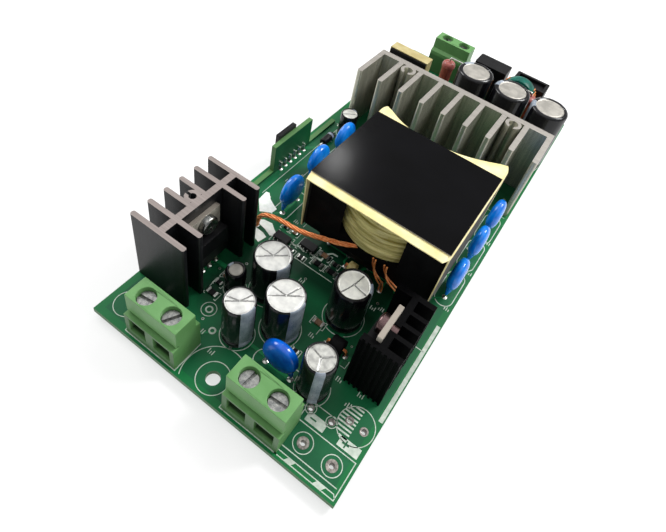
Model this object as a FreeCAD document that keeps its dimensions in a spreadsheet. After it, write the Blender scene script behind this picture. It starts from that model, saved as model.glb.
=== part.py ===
"""DC-DC converter: a long circuit board with terminal blocks, heatsinks, a transformer and its capacitors."""
import FreeCAD, Part
import math
import os
import re
import Sketcher

Vector = FreeCAD.Vector
Rotation = FreeCAD.Rotation
UP = Vector(0, 0, 1)

# Driving dimensions in millimetres. Heights are counted from the top face of the board.
SIZES = {
    # circuit board
    "board_width": 73.4,
    "board_length": 172.6,
    "board_thickness": 1.6,
    "mounting_hole_diameter": 3.6,
    "mounting_hole_inset": 4.9,
    "footprint_hole_diameter": 1.3,
    # leads, pins and their solder
    "wire_radius": 0.32,
    "wire_hole_radius": 0.5,
    "pin_width": 0.8,
    "pin_hole_radius": 0.7,
    "solder_foot_radius": 1.15,
    "solder_tip_radius": 0.5,
    "solder_height": 1.4,
    # terminal blocks
    "terminal_width": 15.9,
    "terminal_height": 15.1,
    "terminal_depth": 8.7,
    "terminal_inset": 0.9,
    "terminal_pitch": 7.8,
    "terminal_top_front": 1.1,
    "terminal_top_back": 7.3,
    "terminal_step_height": 8.2,
    "terminal_groove_height": 0.7,
    "terminal_groove_depth": 0.8,
    "terminal_shoulder_height": 9.6,
    "left_terminal_side": 10.9,
    "right_terminal_side": 41.3,
    "well_radius": 2.35,
    "well_floor": 11.8,
    "wire_entry_width": 5.2,
    "wire_entry_height": 5.2,
    "wire_entry_floor": 2.2,
    "wire_entry_depth": 6.2,
    "screw_head_radius": 2.15,
    "screw_head_height": 2.0,
    "screw_slot_width": 0.8,
    "screw_slot_depth": 0.9,
    "screw_shank_radius": 1.4,
    "screw_clearance": 0.15,
    "screw_row": 3.9,
    "clamp_width": 4.8,
    "clamp_length": 4.6,
    "clamp_thickness": 0.6,
    # output heatsink
    "output_sink_height": 24,
    "output_sink_front": 14.2,
    "output_sink_width": 17.2,
    "output_fin_pitch": 5.14,
    "output_fin_thickness": 1.4,
    "output_spine_side": 8.1,
    "output_spine_thickness": 2.0,
    "output_boss_radius": 2.1,
    "output_channel_radius": 1.0,
    "output_channel_slot": 0.8,
    # input heatsink
    "input_sink_height": 25,
    "input_sink_side": 6.6,
    "input_sink_width": 66,
    "input_sink_front": 104.7,
    "input_sink_depth": 18.1,
    "input_plate_thickness": 2.5,
    "input_fin_thickness": 1.8,
    "input_boss_radius": 2.7,
    "input_channel_setback": 4.6,
    "input_channel_radius": 1.6,
    "input_channel_slot": 1.5,
    # side heatsink
    "side_sink_height": 21,
    "side_sink_side": 59.8,
    "side_sink_width": 10.4,
    "side_sink_front": 23.7,
    "side_sink_depth": 18.6,
    "side_rib_depth": 0.5,
    "side_rib_width": 0.6,
    "side_wall_thickness": 1.6,
    "side_spine_side": 4.3,
    "side_spine_thickness": 1.7,
    "side_fin_thickness": 1.2,
    # power transistors
    "tab_thickness": 1.3,
    "tab_width": 10.2,
    "tab_length": 15.6,
    "tab_hole_height": 12.8,
    "tab_hole_radius": 1.8,
    "package_thickness": 4.5,
    "package_height": 9.1,
    "package_draft": 0.4,
    "lead_thickness": 0.5,
    "lead_setback": 2.0,
    "lead_pitch": 2.54,
    "output_transistor_height": 4.7,
    "output_transistor_y": 27.55,
    "side_transistor_height": 7.0,
    "side_transistor_y": 31.0,
    "fixing_head_radius": 2.7,
    "fixing_head_height": 2.0,
    "fixing_shank_radius": 1.4,
    "fixing_cross_length": 3.4,
    "fixing_cross_width": 0.8,
    "fixing_cross_depth": 1.0,
    # transformer
    "core_width": 39,
    "core_depth": 29,
    "core_bottom": 12,
    "core_half_height": 10.65,
    "core_plate_thickness": 4.65,
    "core_window_radius": 17,
    "core_post_radius": 7,
    "transformer_x": 47.5,
    "transformer_y": 63,
    "spool_clearance": 0.1,
    "spool_wall": 0.9,
    "spool_flange_radius": 13.8,
    "winding_radius": 15.8,
    "tape_thickness": 0.4,
    "tape_width": 37.2,
    "tape_return": 3,
    "tape_taper": 3.8,
    "label_width": 39.2,
    "label_depth": 32.6,
    "label_thickness": 0.3,
    "base_width": 34,
    "base_depth": 18,
    "base_plate_thickness": 3,
    "base_rail_depth": 4,
    "base_rail_bottom": 2.5,
    "base_pin_pitch": 7,
    "long_litz_radius": 0.75,
    "short_litz_radius": 0.65,
    # electrolytic capacitors
    "small_can_radius": 4.1,
    "small_can_height": 16,
    "small_can_pitch": 3.5,
    "medium_can_radius": 5.1,
    "medium_can_height": 16,
    "medium_can_pitch": 5,
    "large_can_radius": 6.6,
    "large_can_height": 25,
    "large_can_pitch": 5,
    "tiny_can_radius": 2.8,
    "tiny_can_height": 9,
    "tiny_can_pitch": 2.5,
    "start_can_radius": 3.15,
    "start_can_height": 9.5,
    "start_can_pitch": 2.5,
    "can_crimp_height": 2.2,
    "can_crimp_depth": 0.35,
    "can_rim_width": 0.9,
    "can_rim_height": 0.35,
    "can_edge_radius": 0.4,
    # disc capacitors
    "disc_radius": 5.2,
    "disc_thickness": 4,
    "disc_edge_radius": 1.3,
    "disc_centre_height": 7.5,
    "disc_lead_pitch": 7.5,
    "wide_disc_radius": 5.0,
    "wide_disc_thickness": 4.2,
    # upright daughter board
    "daughter_board_side": 1.6,
    "daughter_board_front": 66.9,
    "daughter_board_length": 19.8,
    "daughter_board_height": 11.4,
    "daughter_foot_front": 10.9,
    "daughter_foot_back": 16.6,
    "daughter_foot_height": 1.1,
    "daughter_chip_thickness": 1.5,
    "daughter_chip_length": 9,
    "daughter_chip_bottom": 7.5,
    "daughter_chip_height": 5.3,
    "daughter_pin_width": 0.6,
    "daughter_pin_height": 3,
    "daughter_pin_pitch": 2.54,
    # line choke with tape round its core
    "line_choke_length": 15.6,
    "line_choke_depth": 5.7,
    "line_choke_height": 17.6,
    "line_choke_base": 2.4,
    "line_choke_bare_edge": 0.9,
    # storage choke and boxed filter parts
    "box_width": 13,
    "box_depth": 7.4,
    "box_height": 20,
    "box_edge_radius": 0.6,
    "frame_recess": 1.2,
    "toroid_radius": 6.8,
    "toroid_hole_radius": 2.6,
    "toroid_thickness": 5.2,
    "toroid_lift": 9.9,
    "toroid_ledge_width": 6,
    # parts standing on one end
    "upright_radius": 2.5,
    "upright_length": 15.5,
    "upright_lift": 5.8,
    "upright_loop_pitch": 5,
    "upright_loop_rise": 1.4,
    # small parts near the board
    "diode_radius": 1.4,
    "diode_length": 6,
    "diode_lead_pitch": 9,
    "bead_radius": 2.3,
    "bead_hole_radius": 0.9,
    "bead_length": 3.8,
    "small_bead_radius": 1.6,
    "small_bead_hole_radius": 0.6,
    "small_bead_length": 2.6,
    "small_bead_setback": 1.9,
    "large_chip_length": 3.2,
    "large_chip_width": 1.6,
    "small_chip_length": 2.0,
    "small_chip_width": 1.25,
    "chip_height": 0.7,
    "package_chip_length": 5,
    "package_chip_width": 4,
    "package_chip_height": 1.6,
}

# Centres of the parts, counted from the front left corner of the board.
PLACES = {
    "output_capacitor_1": (32, 16.9),
    "output_capacitor_2": (39.4, 24.9),
    "output_capacitor_3": (29.9, 31.9),
    "output_capacitor_4": (50.4, 38.1),
    "output_capacitor_5": (55, 17.5),
    "output_capacitor_6": (22.7, 26.5),
    "start_capacitor": (9.5, 101),
    "input_capacitor_1": (37.9, 137.3),
    "input_capacitor_2": (52.4, 136.9),
    "input_capacitor_3": (66.5, 137.2),
    "left_disc_1": (15.8, 59.6),
    "left_disc_2": (13.8, 76.2),
    "left_disc_3": (13.9, 91.8),
    "right_disc_1": (69.6, 66),
    "right_disc_2": (69.6, 81.5),
    "right_disc_3": (69.6, 95.4),
    "output_disc": (45.8, 15.9),
    "line_choke": (11, 140),
    "filter_box": (39.2, 156.4),
    "choke_frame": (55, 156.4),
    "toroid": (52.7, 149.9),
    "front_upright": (26.1, 141.7),
    "rear_upright": (58.4, 144.6),
    "diode": (7, 92.5),
    "bead": (54, 29.2),
    "small_bead": (44, "=transformer_y - base_depth / 2 - small_bead_setback"),
    "input_channel_1": (12.9, "=input_sink_depth - input_channel_setback"),
    "input_channel_2": (53, "=input_sink_depth - input_channel_setback"),
    "empty_pad_1": (60.7, 6.2),
    "empty_pad_2": (68.6, 6.2),
    "pill_pad_1": (57.6, 13.5),
    "pill_pad_2": (63.3, 13.8),
    "round_pad_1": (66.5, 16.7),
    "round_pad_2": (70.5, 16.6),
}

# Surface parts between the output capacitors and the transformer: kind and corner of each.
SURFACE_PARTS = [
    ("package_chip", 19.6, 45.6),
    ("package_chip", 27.2, 48.4),
    ("large_chip", 33.6, 50.2),
    ("large_chip", 33.6, 46.6),
    ("large_chip", 38.2, 46.8),
    ("small_chip", 25.4, 45.4),
    ("small_chip", 29.2, 45.3),
    ("small_chip", 38.4, 49.8),
    ("small_chip", 22.6, 51.4),
    ("small_chip", 19.2, 51.4),
    ("large_chip", 17.6, 20.8),
    ("small_chip", 17.4, 24.4),
    ("small_chip", 17.4, 27.2),
    ("large_chip", 44.6, 31.6),
    ("small_chip", 45.2, 21.6),
    ("large_chip", 22.2, 66.4),
    ("large_chip", 22.2, 70.2),
    ("small_chip", 22.6, 84.6),
]

# Routes of the loose winding leads, from the winding down to the board.
LONG_LITZ = [
    (43.0, 47.6, 16.65),
    (43.0, 47.6, 15.2),
    (40.4, 47.1, 14.5),
    (36.4, 46.2, 14.0),
    (32.2, 45.4, 13.0),
    (27.6, 45.4, 11.4),
    (23.0, 46.4, 9.8),
    (18.6, 46.9, 8.3),
    (14.8, 47.0, 6.4),
    (13.0, 47.0, 2.8),
    (13.0, 47.0, -1.6),
]
SHORT_LITZ_1 = [(50.6, 47.4, 16.65), (50.6, 47.4, 13.2), (53.6, 47.9, 8.6), (53.8, 51.6, 3.6), (53.8, 51.6, -1.6)]
SHORT_LITZ_2 = [(54.0, 47.4, 16.65), (54.0, 47.4, 13.2), (58.4, 48.6, 9.0), (59.6, 52.0, 4.2), (59.6, 52.0, -1.6)]

document = FreeCAD.newDocument("dc_dc_converter")
sheet = document.addObject("Spreadsheet::Sheet", "Sizes")
parts = []
drilled = []


def fill_sheet():
    """One row per size, with its name beside it."""
    cells = dict(SIZES)
    for name, (x, y) in PLACES.items():
        cells[name + "_x"] = x
        cells[name + "_y"] = y
    for row, (name, number) in enumerate(cells.items(), start=1):
        sheet.set(f"A{row}", name)
        sheet.set(f"B{row}", str(number))
        sheet.setAlias(f"B{row}", name)
    document.recompute()


def formula(text):
    """Formula over the sheet, from one that uses the bare names."""
    return re.sub(r"[a-z]\w+", lambda found: "Sizes." + found.group(), str(text))


def value(text):
    """Number that a formula gives now."""
    return float(sheet.evalExpression(formula(text)))


def bind(item, **formulas):
    """Tie properties of an object to formulas."""
    for name, text in formulas.items():
        item.setExpression(name, formula(text))
    return item


def move(item, x, y, z, turn=None):
    """Local placement tied to formulas, with an optional turn as axis and angle."""
    if turn:
        item.Placement = FreeCAD.Placement(Vector(), Rotation(*turn))
    for axis, text in zip("xyz", (x, y, z)):
        item.setExpression("Placement.Base." + axis, formula(text))
    return item


def seat(item, label, x, y, z, turn=None):
    """Finish a sub-part: its name, and its place counted from the board's front left corner."""
    item.Label = label
    parts.append(item)
    x = f"{x} - board_width / 2"
    y = f"{y} - board_length / 2"
    z = f"{z} + board_thickness + solder_height"
    return move(item, x, y, z, turn)


def new(kind, name):
    return document.addObject(kind, name)


def box(name, length, width, height, x=0, y=0, z=0):
    """Block with its corner at a place."""
    return move(bind(new("Part::Box", name), Length=length, Width=width, Height=height), x, y, z)


def cylinder(name, radius, height, x=0, y=0, z=0, turn=None):
    """Round bar that starts at a place and rises unless it is turned."""
    return move(bind(new("Part::Cylinder", name), Radius=radius, Height=height), x, y, z, turn)


def union(name, items):
    """Several touching solids as one."""
    joined = new("Part::MultiFuse", name)
    joined.Shapes = items
    joined.Refine = True
    return joined


def group(name, items):
    """Several separate solids in one sub-part."""
    together = new("Part::Compound", name)
    together.Links = items
    return together


def cut(name, base, tool):
    """One solid less another."""
    result = new("Part::Cut", name)
    result.Base = base
    result.Tool = tool
    return result


def wire(name, x, y, top, bottom):
    """Straight six-sided lead between two heights."""
    lead = bind(new("Part::Prism", name), Circumradius="wire_radius", Height=f"{top} - ({bottom})")
    lead.Polygon = 6
    return move(lead, x, y, bottom)


def drill(x, y, radius="wire_hole_radius"):
    """Remember a soldered hole of the board."""
    drilled.append((x, y, radius))


def body_with(name):
    return new("PartDesign::Body", name)


def sketch_on(body, role, name, offset="0"):
    """Empty sketch on one of the body's own planes, moved along its normal."""
    sketch = body.newObject("Sketcher::SketchObject", name)
    plane = next(item for item in body.Origin.OriginFeatures if item.Role == role)
    sketch.AttachmentSupport = [(plane, "")]
    sketch.MapMode = "FlatFace"
    sketch.setExpression("AttachmentOffset.Base.z", formula(offset))
    return sketch


def constrain(sketch, kind, text, *where):
    """Dimension of a sketch, tied to a formula."""
    number = sketch.addConstraint(Sketcher.Constraint(kind, *where, value(text)))
    sketch.setExpression(f"Constraints[{number}]", formula(text))


def outline(sketch, points):
    """Closed outline of straight edges, every corner placed by formulas."""
    corners = [Vector(value(x), value(y), 0) for x, y in points]
    first = sketch.GeometryCount
    count = len(points)
    for start, end in zip(corners, corners[1:] + corners[:1]):
        sketch.addGeometry(Part.LineSegment(start, end), False)
    for number, (x, y) in enumerate(points):
        edge = first + number
        following = first + (number + 1) % count
        sketch.addConstraint(Sketcher.Constraint("Coincident", edge, 2, following, 1))
        constrain(sketch, "DistanceX", x, -1, 1, edge, 1)
        constrain(sketch, "DistanceY", y, -1, 1, edge, 1)


def rectangle(sketch, x0, y0, x1, y1):
    outline(sketch, [(x0, y0), (x1, y0), (x1, y1), (x0, y1)])


def circle(sketch, x, y, radius):
    """Circle whose centre and radius are placed by formulas."""
    centre = Vector(value(x), value(y), 0)
    edge = sketch.addGeometry(Part.Circle(centre, UP, value(radius)), False)
    constrain(sketch, "DistanceX", x, -1, 1, edge, 3)
    constrain(sketch, "DistanceY", y, -1, 1, edge, 3)
    constrain(sketch, "Radius", radius, edge)


def pad(body, sketch, name, length, backwards=False):
    """Raise a sketch into a solid."""
    feature = body.newObject("PartDesign::Pad", name)
    feature.Profile = sketch
    feature.Reversed = backwards
    bind(feature, Length=length)
    document.recompute()
    return feature


def pocket(body, sketch, name, depth, backwards=False):
    """Cut a sketch into the solid, and make sure that it does cut."""
    before = body.Shape.Volume
    feature = body.newObject("PartDesign::Pocket", name)
    feature.Profile = sketch
    feature.Reversed = backwards
    bind(feature, Length=depth)
    document.recompute()
    if body.Shape.Volume >= before:
        raise ValueError(name + " cuts nothing")
    return feature


def revolve(body, sketch, name, axis="V_Axis"):
    """Turn a half section about an axis of its sketch."""
    feature = body.newObject("PartDesign::Revolution", name)
    feature.Profile = sketch
    feature.ReferenceAxis = (sketch, [axis])
    feature.Angle = 360
    document.recompute()
    return feature


def round_edges(body, name, radius, wanted):
    """Round the edges of the solid that a test picks."""
    base = body.Tip
    found = [f"Edge{n}" for n, edge in enumerate(base.Shape.Edges, start=1) if wanted(edge)]
    feature = body.newObject("PartDesign::Fillet", name)
    feature.Base = (base, found)
    bind(feature, Radius=radius)
    document.recompute()
    return feature


def upright_at(edge, *sides):
    """True for a vertical edge that lies at one of the given x places."""
    bounds = edge.BoundBox
    upright = bounds.ZLength > 1 and bounds.XLength < 0.01 and bounds.YLength < 0.01
    return upright and any(abs(bounds.XMin - side) < 0.01 for side in sides)


# The three terminal blocks: a corner, and whether the block is turned to face the back edge.
BLOCKS = {
    "left": ("left_terminal_side", "terminal_inset", 1),
    "right": ("right_terminal_side", "terminal_inset", 1),
    "input": ("left_terminal_side + terminal_width", "board_length - terminal_inset", -1),
}


def block_spot(block, across, deep):
    """Place inside a terminal block, counted from its outer corner."""
    x, y, sign = BLOCKS[block]
    return f"{x} + {sign} * ({across})", f"{y} + {sign} * ({deep})"


def terminal_housing(block):
    """Stepped plastic housing with two screw wells and two wire entries."""
    name = block + "_terminal_housing"
    body = body_with(name + "_body")
    profile = sketch_on(body, "YZ_Plane", name + "_profile")
    groove_top = "terminal_step_height + terminal_groove_height"
    groove_back = "terminal_top_front + terminal_groove_depth"
    outline(profile, [
        ("0", "0"),
        ("terminal_depth", "0"),
        ("terminal_depth", "terminal_shoulder_height"),
        ("terminal_top_back", "terminal_shoulder_height + 1"),
        ("terminal_top_back", "terminal_height"),
        ("terminal_top_front", "terminal_height"),
        ("terminal_top_front", groove_top),
        (groove_back, groove_top),
        (groove_back, "terminal_step_height"),
        ("0", "terminal_step_height"),
    ])
    pad(body, profile, name + "_block", "terminal_width")
    middles = ["terminal_width / 2 - terminal_pitch / 2", "terminal_width / 2 + terminal_pitch / 2"]
    wells = sketch_on(body, "XY_Plane", name + "_wells", "terminal_height")
    shanks = sketch_on(body, "XY_Plane", name + "_shanks", "terminal_height")
    entries = sketch_on(body, "XZ_Plane", name + "_entries")
    slots = sketch_on(body, "XY_Plane", name + "_slots")
    half_slot = "(pin_width / 2 + screw_clearance)"
    ceiling = "wire_entry_floor + wire_entry_height"
    for middle in middles:
        circle(wells, middle, "screw_row", "well_radius")
        circle(shanks, middle, "screw_row", "screw_shank_radius + screw_clearance")
        left = f"{middle} - wire_entry_width / 2"
        right = f"{middle} + wire_entry_width / 2"
        rectangle(entries, left, "wire_entry_floor", right, ceiling)
        rectangle(slots, f"{middle} - {half_slot}", f"screw_row - {half_slot}",
                  f"{middle} + {half_slot}", f"screw_row + {half_slot}")
    pocket(body, wells, name + "_well_cut", "terminal_height - well_floor")
    pocket(body, shanks, name + "_shank_cut", f"terminal_height - ({ceiling})")
    pocket(body, entries, name + "_entry_cut", "wire_entry_depth")
    pocket(body, slots, name + "_slot_cut", "wire_entry_floor", backwards=True)
    x, y, sign = BLOCKS[block]
    seat(body, name, x, y, "0", (UP, 0 if sign > 0 else 180))


def terminal_screw(name, x, y, angle):
    """Slotted screw that reaches from the well down to the ceiling of the wire entry."""
    length = "well_floor - wire_entry_floor - wire_entry_height"
    shank = cylinder(name + "_shank", "screw_shank_radius", length, z=f"-({length})")
    head = cylinder(name + "_head", "screw_head_radius", "screw_head_height")
    slot = box(name + "_slot", "screw_head_radius * 2", "screw_slot_width", "screw_slot_depth",
               "-screw_head_radius", "-screw_slot_width / 2", "screw_head_height - screw_slot_depth")
    screw = cut(name, union(name + "_solid", [shank, head]), slot)
    return move(screw, x, y, "0", (UP, angle))


def terminal_metal():
    """Screws and clamp plates of all three blocks."""
    screws = []
    clamps = []
    angles = {"left": (8, 62), "right": (84, 4), "input": (35, 120)}
    for block in BLOCKS:
        for number, side in enumerate((-1, 1)):
            across = f"terminal_width / 2 + {side} * terminal_pitch / 2"
            x, y = block_spot(block, across, "screw_row")
            name = f"{block}_screw_{number + 1}"
            screws.append(terminal_screw(name, x, y, angles[block][number]))
            plate = box(name + "_plate", "clamp_width", "clamp_length", "clamp_thickness",
                        f"{x} - clamp_width / 2", f"{y} - clamp_length / 2", "wire_entry_floor")
            pin = box(name + "_pin", "pin_width", "pin_width", "wire_entry_floor + board_thickness",
                      f"{x} - pin_width / 2", f"{y} - pin_width / 2", "-board_thickness")
            clamps.append(union(name + "_clamp", [plate, pin]))
            drill(x, y, "pin_hole_radius")
    seat(group("screw_group", screws), "terminal_screws", "0", "0", "well_floor")
    seat(group("clamp_group", clamps), "terminal_clamps", "0", "0", "0")


def screw_channel(body, name, x, y, direction, sizes):
    """Boss along an extrusion with a round screw channel that opens in a slot."""
    radius, channel, slot, height = sizes
    ring = sketch_on(body, "XY_Plane", name + "_ring")
    circle(ring, x, y, radius)
    pad(body, ring, name + "_boss", height)
    hole = sketch_on(body, "XY_Plane", name + "_hole")
    circle(hole, x, y, channel)
    pocket(body, hole, name + "_channel", height, backwards=True)
    mouth = sketch_on(body, "XY_Plane", name + "_mouth")
    if direction == "left":
        rectangle(mouth, f"{x} - {radius} - 0.5", f"{y} - {slot} / 2", x, f"{y} + {slot} / 2")
    else:
        rectangle(mouth, f"{x} - {slot} / 2", f"{y} - {radius} - 0.5", f"{x} + {slot} / 2", y)
    pocket(body, mouth, name + "_slot", height, backwards=True)


def output_heatsink():
    """Spine with six fins on one side and four on the other, which leave a bay for the transistor."""
    body = body_with("output_heatsink_body")
    profile = sketch_on(body, "XY_Plane", "output_heatsink_profile")
    spine_end = "output_spine_side + output_spine_thickness"
    fins = 6
    points = [("0", "0")]
    for fin in (0, 1, 4, 5):
        front = f"{fin} * output_fin_pitch"
        back = f"{front} + output_fin_thickness"
        if fin > 0:
            points.append((spine_end, front))
        points.append(("output_sink_width", front))
        points.append(("output_sink_width", back))
        if fin < fins - 1:
            points.append((spine_end, back))
    for fin in range(fins - 1, 0, -1):
        front = f"{fin} * output_fin_pitch"
        below = f"{fin - 1} * output_fin_pitch + output_fin_thickness"
        points.append(("0", f"{front} + output_fin_thickness"))
        points.append(("0", front))
        points.append(("output_spine_side", front))
        points.append(("output_spine_side", below))
    points.append(("0", "output_fin_thickness"))
    outline(profile, points)
    pad(body, profile, "output_heatsink_extrusion", "output_sink_height")
    middle = "2.5 * output_fin_pitch + output_fin_thickness / 2"
    screw_channel(body, "output_channel", "output_spine_side - output_channel_radius - 0.3", middle, "left",
                  ("output_boss_radius", "output_channel_radius", "output_channel_slot", "output_sink_height"))
    hole = sketch_on(body, "YZ_Plane", "output_fixing_hole", spine_end)
    circle(hole, "output_transistor_y - output_sink_front", "output_transistor_height + tab_hole_height",
           "fixing_shank_radius + screw_clearance")
    pocket(body, hole, "output_fixing_cut", "output_spine_thickness")
    tips = (0, value("output_sink_width"))
    round_edges(body, "output_fin_tips", "output_fin_thickness * 0.4", lambda edge: upright_at(edge, *tips))
    seat(body, "output_heatsink", "0", "output_sink_front", "0")


def input_heatsink():
    """Wide plate with nine fins towards the transformer and two screw channels between them."""
    body = body_with("input_heatsink_body")
    profile = sketch_on(body, "XY_Plane", "input_heatsink_profile")
    fins = 9
    pitch = f"((input_sink_width - input_fin_thickness) / {fins - 1})"
    root = "input_sink_depth - input_plate_thickness"
    points = []
    for fin in range(fins):
        side = f"{fin} * {pitch}"
        if fin > 0:
            points.append((side, root))
        points.append((side, "0"))
        points.append((f"{side} + input_fin_thickness", "0"))
        if fin < fins - 1:
            points.append((f"{side} + input_fin_thickness", root))
    points.append(("input_sink_width", "input_sink_depth"))
    points.append(("0", "input_sink_depth"))
    outline(profile, points)
    pad(body, profile, "input_heatsink_extrusion", "input_sink_height")
    for number in (1, 2):
        screw_channel(body, f"input_channel_{number}", f"input_channel_{number}_x", f"input_channel_{number}_y",
                      "front", ("input_boss_radius", "input_channel_radius", "input_channel_slot",
                                "input_sink_height"))
    def front_edge(edge):
        bounds = edge.BoundBox
        return bounds.ZLength > 1 and bounds.YMax < 0.01 and bounds.XLength < 0.01
    round_edges(body, "input_fin_tips", "input_fin_thickness * 0.3", front_edge)
    seat(body, "input_heatsink", "input_sink_side", "input_sink_front", "0")


def side_heatsink():
    """Channel-shaped extrusion with a ribbed front wall and three fins behind its spine."""
    body = body_with("side_heatsink_body")
    profile = sketch_on(body, "XY_Plane", "side_heatsink_profile")
    ribs = 8
    fins = 3
    pitch = f"((side_sink_width - side_rib_width) / {ribs - 1})"
    wall_back = "side_rib_depth + side_wall_thickness"
    rear_front = "side_sink_depth - side_wall_thickness"
    spine_end = "side_spine_side + side_spine_thickness"
    points = []
    for rib in range(ribs):
        side = f"{rib} * {pitch}"
        if rib > 0:
            points.append((side, "side_rib_depth"))
        points.append((side, "0"))
        points.append((f"{side} + side_rib_width", "0"))
        if rib < ribs - 1:
            points.append((f"{side} + side_rib_width", "side_rib_depth"))
    points.append(("side_sink_width", wall_back))
    points.append((spine_end, wall_back))
    for fin in range(1, fins + 1):
        front = f"{wall_back} + {fin} * ({rear_front} - ({wall_back})) / {fins + 1} - side_fin_thickness / 2"
        points.append((spine_end, front))
        points.append(("side_sink_width", front))
        points.append(("side_sink_width", f"{front} + side_fin_thickness"))
        points.append((spine_end, f"{front} + side_fin_thickness"))
    points.append((spine_end, rear_front))
    points.append(("side_sink_width", rear_front))
    points.append(("side_sink_width", "side_sink_depth"))
    points.append(("0", "side_sink_depth"))
    points.append(("0", rear_front))
    points.append(("side_spine_side", rear_front))
    points.append(("side_spine_side", wall_back))
    points.append(("0", wall_back))
    outline(profile, points)
    pad(body, profile, "side_heatsink_extrusion", "side_sink_height")
    hole = sketch_on(body, "YZ_Plane", "side_fixing_hole", spine_end)
    circle(hole, "side_transistor_y - side_sink_front", "side_transistor_height + tab_hole_height",
           "fixing_shank_radius + screw_clearance")
    pocket(body, hole, "side_fixing_cut", "side_spine_thickness")
    seat(body, "side_heatsink", "side_sink_side", "side_sink_front", "0")


# The two transistors: the face of their heatsink, and the way in which they point away from it.
TRANSISTORS = {
    "output": ("output_spine_side + output_spine_thickness", 1),
    "side": ("side_sink_side + side_spine_side", -1),
}


def transistor(which):
    """Moulded package on a bored metal tab, with three leads down to the board."""
    face, sign = TRANSISTORS[which]
    name = which + "_transistor"
    turn = (UP, 0 if sign > 0 else 180)
    height = name + "_height"
    start = f"{name}_y - {sign} * tab_width / 2"
    plate = box(name + "_plate", "tab_thickness", "tab_width", "tab_length")
    hole = cylinder(name + "_hole", "tab_hole_radius", "tab_thickness * 2",
                    "-tab_thickness / 2", "tab_width / 2", "tab_hole_height", (Vector(0, 1, 0), 90))
    pieces = [cut(name + "_tab", plate, hole)]
    for lead in (-1, 0, 1):
        middle = f"tab_width / 2 + {lead} * lead_pitch"
        pieces.append(box(f"{name}_lead_{lead + 2}", "lead_thickness", "pin_width",
                          f"{height} + board_thickness", "lead_setback", f"{middle} - pin_width / 2",
                          f"-{height} - board_thickness"))
        x = f"{face} + {sign} * (lead_setback + lead_thickness / 2)"
        drill(x, f"{name}_y + {lead} * lead_pitch", "pin_hole_radius")
    seat(group(name + "_metal", pieces), name + "_tab_and_leads", face, start, height, turn)
    body = body_with(name + "_package_body")
    profile = sketch_on(body, "XZ_Plane", name + "_package_profile")
    outline(profile, [
        ("tab_thickness", "0"),
        ("package_thickness - package_draft", "0"),
        ("package_thickness", "package_height / 2"),
        ("package_thickness - package_draft", "package_height"),
        ("tab_thickness", "package_height"),
    ])
    pad(body, profile, name + "_package_solid", "tab_width", backwards=True)
    seat(body, name + "_package", face, start, height, turn)


def fixing_screw(which):
    """Pan head screw with a cross recess, through the tab into the heatsink."""
    face, sign = TRANSISTORS[which]
    name = which + "_fixing_screw"
    depth = f"tab_thickness + {which}_spine_thickness"
    shank = cylinder(name + "_shank", "fixing_shank_radius", depth, z=f"-({depth})")
    head = cylinder(name + "_head", "fixing_head_radius", "fixing_head_height")
    rounded = new("Part::Fillet", name + "_rounded")
    rounded.Base = head
    document.recompute()
    crown = value("fixing_head_height * 0.4")
    rounded.Edges = [(n, crown, crown) for n, edge in enumerate(head.Shape.Edges, start=1)
                     if edge.BoundBox.ZMin > value("fixing_head_height") - 0.01]
    bars = []
    for number, (length, width) in enumerate((("fixing_cross_length", "fixing_cross_width"),
                                              ("fixing_cross_width", "fixing_cross_length"))):
        bars.append(box(f"{name}_bar_{number + 1}", length, width, "fixing_cross_depth * 2",
                        f"-{length} / 2", f"-{width} / 2", "fixing_head_height - fixing_cross_depth"))
    screw = cut(name, union(name + "_solid", [shank, rounded]), union(name + "_cross", bars))
    x = f"{face} + {sign} * tab_thickness"
    return move(screw, x, f"{which}_transistor_y", f"{which}_transistor_height + tab_hole_height",
                (Vector(0, 1, 0), 90 * sign))


def core_half(name, turned):
    """Half of a round-window core: plate, round post and two legs with curved inner faces."""
    body = body_with(name + "_body")
    block = sketch_on(body, "XY_Plane", name + "_block")
    rectangle(block, "-core_width / 2", "-core_depth / 2", "core_width / 2", "core_depth / 2")
    pad(body, block, name + "_solid", "core_half_height")
    window = sketch_on(body, "XY_Plane", name + "_window", "core_half_height")
    circle(window, "0", "0", "core_window_radius")
    circle(window, "0", "0", "core_post_radius")
    pocket(body, window, name + "_window_cut", "core_half_height - core_plate_thickness")
    bottom = "core_bottom + 2 * core_half_height" if turned else "core_bottom"
    seat(body, name, "transformer_x", "transformer_y", bottom, (Vector(1, 0, 0), 180 if turned else 0))


def spool_and_winding():
    """Flanged spool round the core post and the taped winding that covers its flanges."""
    height = "(2 * (core_half_height - core_plate_thickness) - spool_clearance)"
    inner = "core_post_radius + spool_clearance"
    tube = "core_post_radius + spool_clearance + spool_wall"
    floor = "core_bottom + core_plate_thickness"
    spool = body_with("spool_body")
    section = sketch_on(spool, "XZ_Plane", "spool_section")
    outline(section, [
        (inner, "0"),
        ("spool_flange_radius", "0"),
        ("spool_flange_radius", "spool_wall"),
        (tube, "spool_wall"),
        (tube, f"{height} - spool_wall"),
        ("spool_flange_radius", f"{height} - spool_wall"),
        ("spool_flange_radius", height),
        (inner, height),
    ])
    revolve(spool, section, "spool_turned")
    seat(spool, "transformer_spool", "transformer_x", "transformer_y", floor)
    winding = body_with("winding_body")
    section = sketch_on(winding, "XZ_Plane", "winding_section")
    outline(section, [
        (tube, "spool_wall"),
        ("spool_flange_radius", "spool_wall"),
        ("spool_flange_radius", "0"),
        ("winding_radius", "0"),
        ("winding_radius", height),
        ("spool_flange_radius", height),
        ("spool_flange_radius", f"{height} - spool_wall"),
        (tube, f"{height} - spool_wall"),
    ])
    revolve(winding, section, "winding_turned")
    seat(winding, "transformer_winding", "transformer_x", "transformer_y", floor)


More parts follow.
